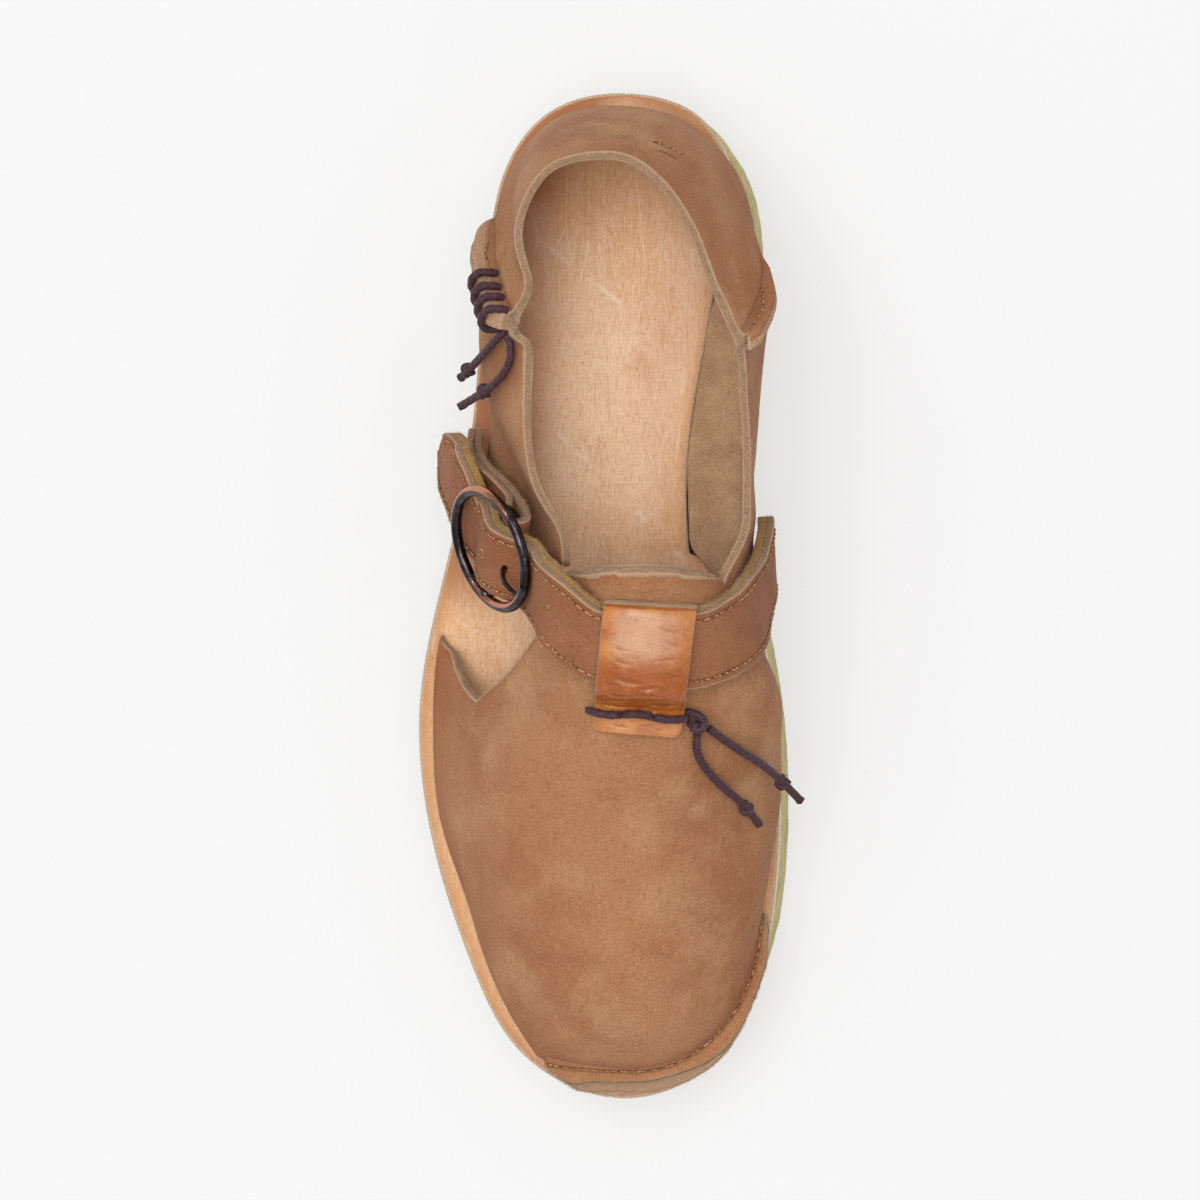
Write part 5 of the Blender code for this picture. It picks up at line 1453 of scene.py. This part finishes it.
def make_chape(outer, raw, flesh, tree):
    """The folded leather round the ring's bar and down to the sole, and the places for its loose fibres."""
    bar = at_ring(0, -BAR_DROP)
    steps = 90
    back = through([bar, *(np.array(place) for place in CHAPE_PATH)], np.linspace(0, 1, steps))
    along = unit(np.gradient(back, axis=0))
    turned = np.linspace(0, 1, steps)[:, None]
    facing = RING_FACING * (1 - turned) + np.array(CHAPE_FACING) * turned
    out = unit(facing - along * (along * facing).sum(1)[:, None])
    wide = np.cross(along, out)
    spread = BAR_RADIUS + GAP + CHAPE_LAYER / 2
    spot = np.linspace(0, 11, steps)
    apart = np.interp(spot, (0, 1, 2), (spread, spread * 0.75, CHAPE_LAYER / 2 + 0.12))
    inner = CHAPE_LAYER + 0.2
    coarse = np.arange(0, steps, 3)
    back = back + out * pushed_clear(tree, back - out * inner, out, wide, CHAPE_WIDTH / 2, coarse, 4)
    path = [(back[i] + out[i] * apart[i], out[i], wide[i]) for i in range(steps - 1, 3, -1)]
    for turn in np.linspace(90, 270, 25):
        way = math.cos(math.radians(turn)) * along[0] + math.sin(math.radians(turn)) * out[0]
        path.append((bar + way * spread, way, wide[0]))
    path += [(back[i] - out[i] * apart[i], -out[i], wide[i]) for i in range(4, steps)]
    middle, ways, wides = (np.array([row[k] for row in path]) for k in range(3))
    half = CHAPE_WIDTH / 2
    thin = CHAPE_LAYER / 2
    # corners of a section: across, out, kind of the side that follows
    profile = [(half - 2.0, thin, 0), (half - 0.5, thin, 1), (half - 0.15, thin - 0.15, 1), (half, thin - 0.5, 1),
               (half, 0.5 - thin, 1), (half - 0.15, 0.15 - thin, 1), (half - 0.5, -thin, 2), (half - 2.0, -thin, 2),
               (0.0, -thin, 2), (2.0 - half, -thin, 2), (0.5 - half, -thin, 1), (0.15 - half, 0.15 - thin, 1),
               (-half, 0.5 - thin, 1), (-half, thin - 0.5, 1), (0.15 - half, thin - 0.15, 1), (0.5 - half, thin, 0),
               (2.0 - half, thin, 0), (-half * 0.45, thin, 0), (half * 0.45, thin, 0)]
    sections = np.array([[m + w * a + o * b for a, b, _ in profile] for m, o, w in zip(middle, ways, wides)])
    ground = footbed_top(sections[..., 1].ravel()).reshape(sections.shape[:2])
    sections[..., 2] = np.maximum(sections[..., 2], ground + GAP * 0.5)
    bump = 0.10 * noise(sections, 0.8, 51) + 0.12 * noise(sections, 3.0, 52)
    bump = bump * [1 if k == 1 else 0.4 for _, _, k in profile] * np.sign([a for a, _, _ in profile])
    sections = sections + wides[:, None] * bump[..., None]
    points, faces, kinds = skin(sections, [k for _, _, k in profile])
    pale = np.tile([0.7 if n in (1, 2, 14, 15) else 0.0 for n in range(len(profile))], len(sections))
    marks = {"rim": capped(pale), "dark": np.zeros(len(points)), "tone_and_painted_shade": np.zeros(len(points))}
    made = build("chape_leather", points, turned_out(points, faces), [outer, raw, flesh], kinds, marks)
    edges = [(middle + wides * (side * half), wides * side, ways, np.full(len(middle), thin), 900, 91 + side)
             for side in (1, -1)]
    return made, edges


def make_buckle_parts(metal):
    """The ring with its bar, and the prong."""
    turns = np.linspace(0, 2 * math.pi, 161, endpoint=False)
    circle = np.array(ring_circle(RING_RADIUS + 0.25, len(turns)))
    way = np.array([STRAP_THROUGH * math.cos(t) + BAR_UP * math.sin(t) for t in turns])
    facing = spokes(way, RING_FACING[None], np.linspace(0, 2 * math.pi, 24, endpoint=False))
    points, faces, kinds = skin(circle[:, None] + facing * (RING_WIRE - 0.3), [0] * 24, closed=True)
    # Copper painted as a reflection on the side of the wire that faces the light, with a little noise for wear.
    wear_and_copper_sheen = 0.85 * step(0.42, 0.98, facing @ unit((-0.62, 0.52, 0.42))) + 0.12 * noise(circle, 9, 6)[:, None]
    ring = (points, turned_out(points, faces), kinds)
    side = RING_RADIUS - 0.6
    route = [at_ring(0, 0, -side), at_ring(0, -BAR_DROP * 0.75, -side + 0.6), at_ring(0, -BAR_DROP, -side + 2.8),
             at_ring(0, -BAR_DROP, 0), at_ring(0, -BAR_DROP, 7.0), at_ring(0, -BAR_DROP * 0.72, 10.5),
             at_ring(0, -BAR_DROP * 0.3, side - 2.2), at_ring(0, 0, side)]
    bar = rod(through(route, np.linspace(0, 1, 90)), BAR_RADIUS, 18)
    points, faces, kinds = merge([ring, bar])
    marks = {"wear_and_copper_sheen": np.concatenate([wear_and_copper_sheen.ravel(), np.full(len(points) - wear_and_copper_sheen.size, 0.1)])}
    made = build("buckle_metal", points, faces, [metal], kinds, marks)
    finish_piece(made, "gunmetal", "buckle_ring")
    reach = BAR_RADIUS + GAP + PRONG_RADIUS
    turns = np.linspace(0, 2 * math.pi, 48)
    eye = [at_ring(reach * math.cos(t), -BAR_DROP + reach * math.sin(t), -PRONG_LOW) for t in turns]
    pin = [at_ring(along, out, -PRONG_LOW) for along, out in [(-reach, -BAR_DROP + 0.6), *PRONG_PIN]]
    pin = through(pin, np.linspace(0, 1, 60))
    size = np.interp(np.arange(len(pin)), (0, 8, 48, 59), (0.95, 0.95, 0.85, 0.55)) * PRONG_RADIUS
    points, faces, kinds = merge([rod(np.array(eye), PRONG_RADIUS * 0.98, 16, False), rod(pin, size, 18)])
    made = build("prong_metal", points, faces, [metal], kinds, {"wear_and_copper_sheen": np.full(len(points), 0.36)})
    finish_piece(made, "gunmetal", "buckle_prong")


# ---------------------------------------------------------------- the keeper

KEEPER_LONG = 35
KEEPER_WIDE = 24
# Folds in the keeper: share of its length and width at each end, bow, width and depth in millimetres
KEEPER_FOLDS = [
    (0.36, 0.06, 0.47, 0.42, 0.03, 0.6, 0.30), (0.25, 0.62, 0.30, 0.95, 0.01, 0.5, 0.20),
    (0.60, 0.03, 0.63, 0.30, 0.01, 0.4, 0.26), (0.64, 0.42, 0.60, 0.74, 0.015, 0.5, 0.26),
    (0.71, 0.62, 0.66, 0.97, -0.01, 0.4, 0.26), (0.49, 0.70, 0.54, 0.97, 0.01, 0.45, 0.24),
    (0.74, 0.10, 0.73, 0.38, 0.01, 0.35, 0.24), (0.93, 0.60, 0.96, 0.90, 0.0, 0.4, 0.2),
    (0.30, 0.04, 0.36, 0.40, 0.02, 0.5, 0.20), (0.44, 0.55, 0.40, 0.96, -0.02, 0.6, 0.22),
    (0.52, 0.10, 0.60, 0.52, 0.03, 0.7, 0.26), (0.68, 0.05, 0.70, 0.45, 0.02, 0.45, 0.26),
    (0.72, 0.30, 0.69, 0.80, -0.015, 0.4, 0.26), (0.75, 0.55, 0.74, 0.98, 0.015, 0.45, 0.30),
    (0.77, 0.02, 0.79, 0.40, 0.01, 0.4, 0.26), (0.81, 0.35, 0.80, 0.75, 0.01, 0.4, 0.28),
    (0.155, 0.55, 0.20, 0.94, 0.01, 0.6, 0.16), (0.92, 0.12, 0.95, 0.50, 0.01, 0.5, 0.20),
    (0.95, 0.45, 0.91, 0.85, -0.01, 0.45, 0.20), (0.58, 0.60, 0.66, 0.90, 0.02, 0.5, 0.18)]


def make_keeper(tree, wax, raw, flesh):
    """The tanned tab: a folded top edge, swelling over the strap, pinched down below it and laced at its foot."""
    off = np.array(KEEPER_OFF)
    shares = np.unique(np.concatenate([
        off[:, 0], np.linspace(0, 1, 110), np.linspace(0, 0.06, 14), np.linspace(0.66, 0.82, 26)]))
    across = np.concatenate([[0, 0.006, 0.02], np.linspace(0.05, 0.95, 34), [0.98, 0.994, 1]])
    fine = np.linspace(0, 1, 500)
    kernel = np.exp(-np.linspace(-2.2, 2.2, 23) ** 2)
    smooth = np.pad(np.interp(fine, off[:, 0], off[:, 1]), 11, mode="edge")
    height = np.interp(shares, fine, np.convolve(smooth, kernel / kernel.sum(), mode="valid"))
    spots = np.linspace(0, 1, 26)
    facing = np.pad(np.array([keeper_facing(tree, s) for s in spots]), ((2, 2), (0, 0)), mode="edge")
    facing = unit(sum(facing[i : i + len(spots)] for i in range(5)))
    way = unit(read_at(shares, spots, facing))
    low = np.zeros((len(shares), len(across), 3))
    for i, s in enumerate(shares):
        a, b = (np.array(KEEPER_TOP[k]) * (1 - s) + np.array(KEEPER_FOOT[k]) * s for k in (0, 1))
        for j, p in enumerate(across):
            p = 0.5 + (p - 0.5) * (1 - 0.10 * max(0, (s - 0.955) / 0.045) ** 2)
            seen = a * (1 - p) + b * p
            low[i, j] = over(tree, *(seen - way[i][:2] * height[i]))[0] + way[i] * height[i]
    wave = 0.24 * noise(low, 7, 61) + 0.10 * noise(low * (0.5, 1.4, 1), 3.2, 62)
    pinch = np.exp(-(((shares - 0.80) / 0.05) ** 2))
    wrinkle = pinch[:, None] * (0.16 * np.sin(across[None] * 31 + 2.0 * np.sin(shares[:, None] * 40)) * 0.6
                                + 0.14 * noise(low, 1.9, 64))
    lines, dents = np.zeros(low.shape[:2]), np.zeros(low.shape[:2])
    for s0, p0, s1, p1, bow, width, depth in KEEPER_FOLDS:
        t = np.linspace(0, 1, 40)
        fold_s = s0 + (s1 - s0) * t + bow * np.sin(math.pi * t)
        fold_p = p0 + (p1 - p0) * t
        gap = np.full(low.shape[:2], 9.0)
        for a, b, fade in zip(fold_s, fold_p, np.sin(math.pi * np.clip(t, 0.04, 0.96))):
            near = np.hypot((shares[:, None] - a) * KEEPER_LONG, (across[None] - b) * KEEPER_WIDE)
            gap = np.minimum(gap, near + 0.8 * (1 - fade))
        dents = (dents - depth * np.exp(-(gap / width) ** 2)
                 + 0.5 * depth * np.exp(-((gap - 1.7 * width) / width) ** 2))
        lines = np.maximum(lines, 0.55 * np.exp(-(gap / (0.55 * width)) ** 2))
    upper_face = low + way[:, None] * (KEEPER_THICKNESS + wave * 0.55 + wrinkle * 0.7 + dents)[..., None]
    edge_drop = 0.35 * np.exp(-((np.minimum(across, 1 - across) * KEEPER_WIDE) / 0.45) ** 2)
    upper_face -= way[:, None] * edge_drop[None, :, None]

    def side_wall(start, end, out, root, seed):
        """Three points from one face of the edge to the other, bulged and ragged."""
        return [start * (1 - t) + end * t
                + out * (0.28 * math.sin(math.pi * t) + 0.12 * noise(root[None] + t * 5, 0.9, seed)[0])
                for t in (0.2, 0.5, 0.8)]

    sections = []
    for top_row, low_row in zip(upper_face, low):
        side_b = side_wall(top_row[-1], low_row[-1], unit(top_row[-1] - top_row[-4]), top_row[-1], 66)
        side_a = side_wall(low_row[0], top_row[0], unit(top_row[0] - top_row[3]), top_row[0], 67)
        sections.append([*top_row, *side_b, *low_row[::-4], low_row[0], *side_a])
    sections = np.array(sections)
    wide = len(across)
    kinds = [0] * (wide - 1) + [1] * 4 + [2] * len(low[0][::-4]) + [1] * 4
    points, faces, kinds = skin(sections, kinds)
    pale, deep, crease = np.zeros((3, *sections.shape[:2]))
    s, p = shares[:, None], across[None]
    # A painted highlight over the top of the swell, a paler tab at the foot, painted shade on the lower slope and at
    # the folded top edge, and painted shade in the folds.
    painted_highlight = step(0.02, 0.10, s) * step(0.60, 0.30, s) * (0.75 + 0.25 * noise(low, 8, 68))
    painted_highlight = 0.80 * painted_highlight * step(0.0, 0.25, p) * step(1.02, 0.72, p)
    pale[:, :wide] = np.clip(painted_highlight + 0.18 * step(0.84, 0.92, s), 0, 1)
    deep[:, :wide] = np.clip(0.85 * step(0.34, 0.56, s) * step(0.84, 0.74, s) + 0.25 * step(0.10, 0.0, s), 0, 1)
    crease[:, :wide] = np.clip(lines, 0, 1)
    marks = {"crease": capped(crease), "pale": capped(pale), "deep": capped(deep), "rim": np.full(len(points), 0.25)}
    made = build("keeper_leather", points, turned_out(points, faces), [wax, raw, flesh], kinds, marks)
    return finish_piece(made, "tan_leather", "keeper")


# ---------------------------------------------------------------- cords

def make_cords(tree, cord):
    """The lacing of the keeper, the lashing of the outer seam and the keeper's knot, which it returns."""
    clear = CORD / 2 + GAP
    on_keeper = KEEPER_OFF[-1][1] + KEEPER_THICKNESS + clear + 0.05
    hidden = KEEPER_OFF[-1][1] + 0.6
    parts = []
    for route in (
            [(-0.075, clear + 0.4), (-0.05, clear + 1.3), (-0.01, on_keeper - 0.1), (0.12, on_keeper + 0.2),
             (0.26, on_keeper), (0.31, hidden)],
            [(0.33, hidden), (0.38, on_keeper), (0.50, on_keeper + 0.3), (0.61, on_keeper), (0.655, hidden)],
            [(0.68, hidden), (0.73, on_keeper), (0.84, on_keeper + 0.3), (0.94, on_keeper + 0.1),
             (1.02, on_keeper - 0.3)]):
        line = [keeper_place(tree, LACING_SHARE + 0.012 * math.sin(part * 9.5), part, height)
                for part, height in route]
        parts.append(braid(curve_through(line)))
    cord_piece("lacing_cord", parts, cord, "keeper_lacing")

    line, along, side, out, depth = seam_frames(OUTER_SEAM, LASH_LEVELS)
    wide = OUTER_SEAM_HALF + CORD / 2 + 0.12
    low = LEATHER / 2 + CORD / 2 + GAP + 0.4
    run = line - side * (wide + 0.2) + out * low
    parts = [braid(curve_through(run))]
    for number in range(0, len(line), 2):
        deep = LEATHER / 2 + depth[number] + CORD / 2 + 0.05
        slant = along[number] * (0.45 if number % 4 else -0.15)
        # across the seam, out from the wall, share of the slant
        loop = [(-wide + 0.4, low - 1.6, -1), (-wide, low, -0.9), (-wide - 0.1, deep - 2.0, -0.5),
                (-wide + 0.8, deep - 0.5, -0.2), (0.0, deep + 0.15, 0), (wide - 0.8, deep - 0.5, 0.2),
                (wide + 0.1, deep - 2.0, 0.5), (wide, low, 0.9), (wide - 0.5, low - 1.6, 1)]
        turn = [line[number] + side[number] * across + out[number] * away + slant * lean
                for across, away, lean in loop]
        parts.append(braid(curve_through(turn)))
    cord_piece("lashing_cord", parts, cord, "heel_lashing")

    around = [(-3.4, 2.6, 0.6), (-0.5, 1.8, 1.5), (1.6, -0.3, 1.0), (0.4, -2.2, 0.6), (-2.0, -1.6, 0.9)]
    return cord_piece("keeper_knot_cord", [
        knot(np.array(KEEPER_KNOT) - (1.0, 0.0, 0.2), (0.7, -0.6, -0.3), 1.05, (0.3, 0.3, 0.9)),
        braid(curve_through([np.array(KEEPER_KNOT) + p for p in around]))], cord, "keeper_knot")


# Stitches on the upper, seen from above: x, y along each row, and their pitch
SEAM_STITCHES = [
    ([(46.0, 85.3), (46.6, 80.2), (45.2, 75.6), (42.3, 70.9), (42.0, 68.2)], 2.6),
    ([(-29.0, 98.0), (-29.4, 94.6), (-28.2, 91.0)], 2.4), ([(16.8, 122.9), (21.0, 121.8), (25.1, 119.7)], 1.9),
    ([(18.0, 120.6), (23.4, 118.4)], 1.9)]
TAILS = [
    # node, route, share of the length at which its knot sits, knot's way up
    ("keeper_tail_a", KEEPER_TAIL_A, 0.80, (0.4, -0.3, 0.85)),
    ("keeper_tail_b", KEEPER_TAIL_B, 0.80, (0.2, 0.3, 0.9)),
    ("lash_tail_a", LASH_TAIL_A, 0.86, (-0.3, 0.1, 0.9)),
    ("lash_tail_b", LASH_TAIL_B, 0.62, (-0.3, 0.1, 0.9))]


def make_tails(cord, keeper_knot):
    """The loose ends of the cords, each with the knot in it."""
    for name, route, share, up in TAILS:
        route = [2.0 * np.array(route[0]) - route[1]] * (name == "lash_tail_a") + [np.array(p) for p in route]
        line = curve_through(route, 0.5)
        run = np.linalg.norm(np.diff(line, axis=0), axis=1).sum()
        place = through(route, np.array([share - 0.02, share, share + 0.02]))
        tied = cord_piece(name + "_knot", [knot(place[1], place[2] - place[0], 0.92, up)], cord)
        tail = cord_piece(name + "_cord", [braid(line, ends=(1.0, 1.22))], cord, name)


# ---------------------------------------------------------------- the whole

def main():
    """Loads the frame, builds every piece round it and lights it."""
    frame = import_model()
    nodes = frame["nodes"]

    outer = nubuck("nubuck_leather", (154, 102, 68), (173, 123, 87), (184, 141, 102))
    strap_face = nubuck("strap_nubuck", (136, 82, 54), (150, 97, 66), (160, 110, 78), 0.4)
    raw = raw_edge("raw_edge", (188, 154, 122), (134, 100, 74))
    ochre = raw_edge("ochre_edge", (196, 156, 88), (150, 108, 56))
    inner = suede("suede_lining", (176, 140, 106), (198, 162, 126))
    hair = fibres("raw_fibres", (208, 182, 156), (170, 140, 114))
    thread = thread_finish()
    dark = dark_hole()

    cad = tree_of(nodes["upper"])
    cad_band = BVHTree.FromPolygons(*joined(nodes["upper"], nodes["chape"]))

    upper, loose = make_upper(outer, raw, inner)
    points, faces, kinds = loose
    finish_piece(build("upper_fibres", points, faces, [hair], kinds), "nubuck_leather")
    body = tree_of(upper)
    toe, toe_stitches, toe_edges = make_toe_seam(outer, raw)
    finish_piece(upper, "nubuck_leather", "upper")
    finish_piece(toe, "nubuck_leather")
    make_sole()
    chape, chape_edges = make_chape(strap_face, raw, inner, cad)
    finish_piece(chape, "strap_leather", "chape")
    strap, strap_stitches, strap_edges = make_strap(strap_face, raw, ochre, inner, cad, cad_band)
    finish_piece(strap, "strap_leather", "strap")
    make_buckle_parts(gunmetal())
    make_keeper(cad, waxed_leather(), raw, inner)
    cord = cord_finish()
    make_tails(cord, make_cords(cad, cord))
    for name, edges, slot_name in (("toe_fibres", toe_edges, "nubuck_leather"),
                                   ("strap_fibres", strap_edges + chape_edges, "strap_leather")):
        points, faces, kinds = merge([fuzz(*row) for row in edges])
        finish_piece(build(name, points, faces, [hair], kinds), slot_name)
    seams = []
    for number, (row, pitch) in enumerate(SEAM_STITCHES):
        line = even(through([(x, y, 0) for x, y in row], np.linspace(0, 1, 40)), 0.4)
        places, ways = np.transpose([over(body, x, y) for x, y, _ in line], (1, 0, 2))
        seams += stitch_row(places, unit(ways), pitch, 0.4, 0.26, number)
    for name, parts, slot_name in (
            ("toe_stitches", toe_stitches, "nubuck_leather"), ("seam_stitches", seams, "nubuck_leather"),
            ("strap_stitches", strap_stitches, "strap_leather")):
        points, faces, kinds = merge(parts)
        finish_piece(build(name, points, faces, [thread, dark], kinds), slot_name)

    light_and_look()


def joined(*made):
    """The corners and faces of several meshes as one, in millimetres."""
    points, faces, start = [], [], 0
    for piece in made:
        points += [v.co / MM for v in piece.data.vertices]
        faces += [tuple(v + start for v in p.vertices) for p in piece.data.polygons]
        start = len(points)
    return points, faces


WORLD = (0.35, 0.74)  # strength at the horizon and overhead
# Area lamps: name, place, the point that it faces, width and power
LAMPS = [("over_head", (-0.20, 0.02, 1.5), (0, 0, 0), 1.1, 14),
         ("glint_left", (-0.75, 0.55, 1.0), (0, 0, 0.05), 0.10, 0.8),
         ("glint_right", (0.5, 0.75, 0.9), (0, 0, 0.05), 0.10, 0.7),
         ("glint_near", (0.35, -0.6, 1.0), (0, 0, 0.05), 0.10, 0.5)]
FLOOR_HALF = 4  # in metres
FLOOR_UP = -0.0005
LENS = 115.35
CAMERA_AT = (0.059, -0.0015, 1.1)
CAMERA_AIM = (0.0015, 0.0, 0.045)


def placed(name, data):
    """A new object in the scene."""
    made = bpy.data.objects.new(name, data)
    bpy.context.scene.collection.objects.link(made)
    return made


def light_and_look():
    """The white room, its lamps and floor, and the camera above."""
    scene = bpy.context.scene
    scene.view_settings.view_transform = "Standard"
    world = bpy.data.worlds.new("studio")
    world.use_nodes = True
    tree = world.node_tree
    split = tree.nodes.new("ShaderNodeSeparateXYZ")
    tree.links.new(tree.nodes.new("ShaderNodeTexCoord").outputs["Generated"], split.inputs[0])
    height = tree.nodes.new("ShaderNodeMapRange")
    for key, value in (("From Min", -0.1), ("From Max", 0.9), ("To Min", WORLD[0]), ("To Max", WORLD[1])):
        height.inputs[key].default_value = value
    tree.links.new(split.outputs["Z"], height.inputs["Value"])
    tree.links.new(height.outputs["Result"], tree.nodes["Background"].inputs["Strength"])
    tree.nodes["Background"].inputs["Color"].default_value = (1, 1, 1, 1)
    scene.world = world
    for name, place, aim, wide, power in LAMPS:
        light = bpy.data.lights.new(name, "AREA")
        light.size = wide
        light.energy = power
        lamp = placed(name, light)
        lamp.location = place
        lamp.rotation_euler = (Vector(aim) - Vector(place)).to_track_quat("-Z", "Y").to_euler()
    floor = bpy.data.materials.new("paper")
    floor.use_nodes = True
    shader = floor.node_tree.nodes["Principled BSDF"]
    for key, value in (("Base Color", (0.3, 0.3, 0.3, 1)), ("Emission Color", (1, 1, 1, 1)),
                       ("Emission Strength", 0.55), ("Roughness", 0.9)):
        shader.inputs[key].default_value = value
    mesh = bpy.data.meshes.new("floor")
    corners = [(x * FLOOR_HALF, y * FLOOR_HALF, FLOOR_UP) for x, y in ((-1, -1), (1, -1), (1, 1), (-1, 1))]
    mesh.from_pydata(corners, [], [(0, 1, 2, 3)])
    mesh.materials.append(floor)
    ground = placed("floor", mesh)
    camera = bpy.data.cameras.new("camera")
    camera.lens = LENS
    camera.sensor_width = 36
    camera.clip_start = 0.05
    eye = placed("camera", camera)
    eye.location = CAMERA_AT
    back = (eye.location - Vector(CAMERA_AIM)).normalized()
    right = Vector((0, 1, 0)).cross(back).normalized()
    eye.rotation_euler = Matrix((right, back.cross(right), back)).transposed().to_euler()
    scene.camera = eye


main()
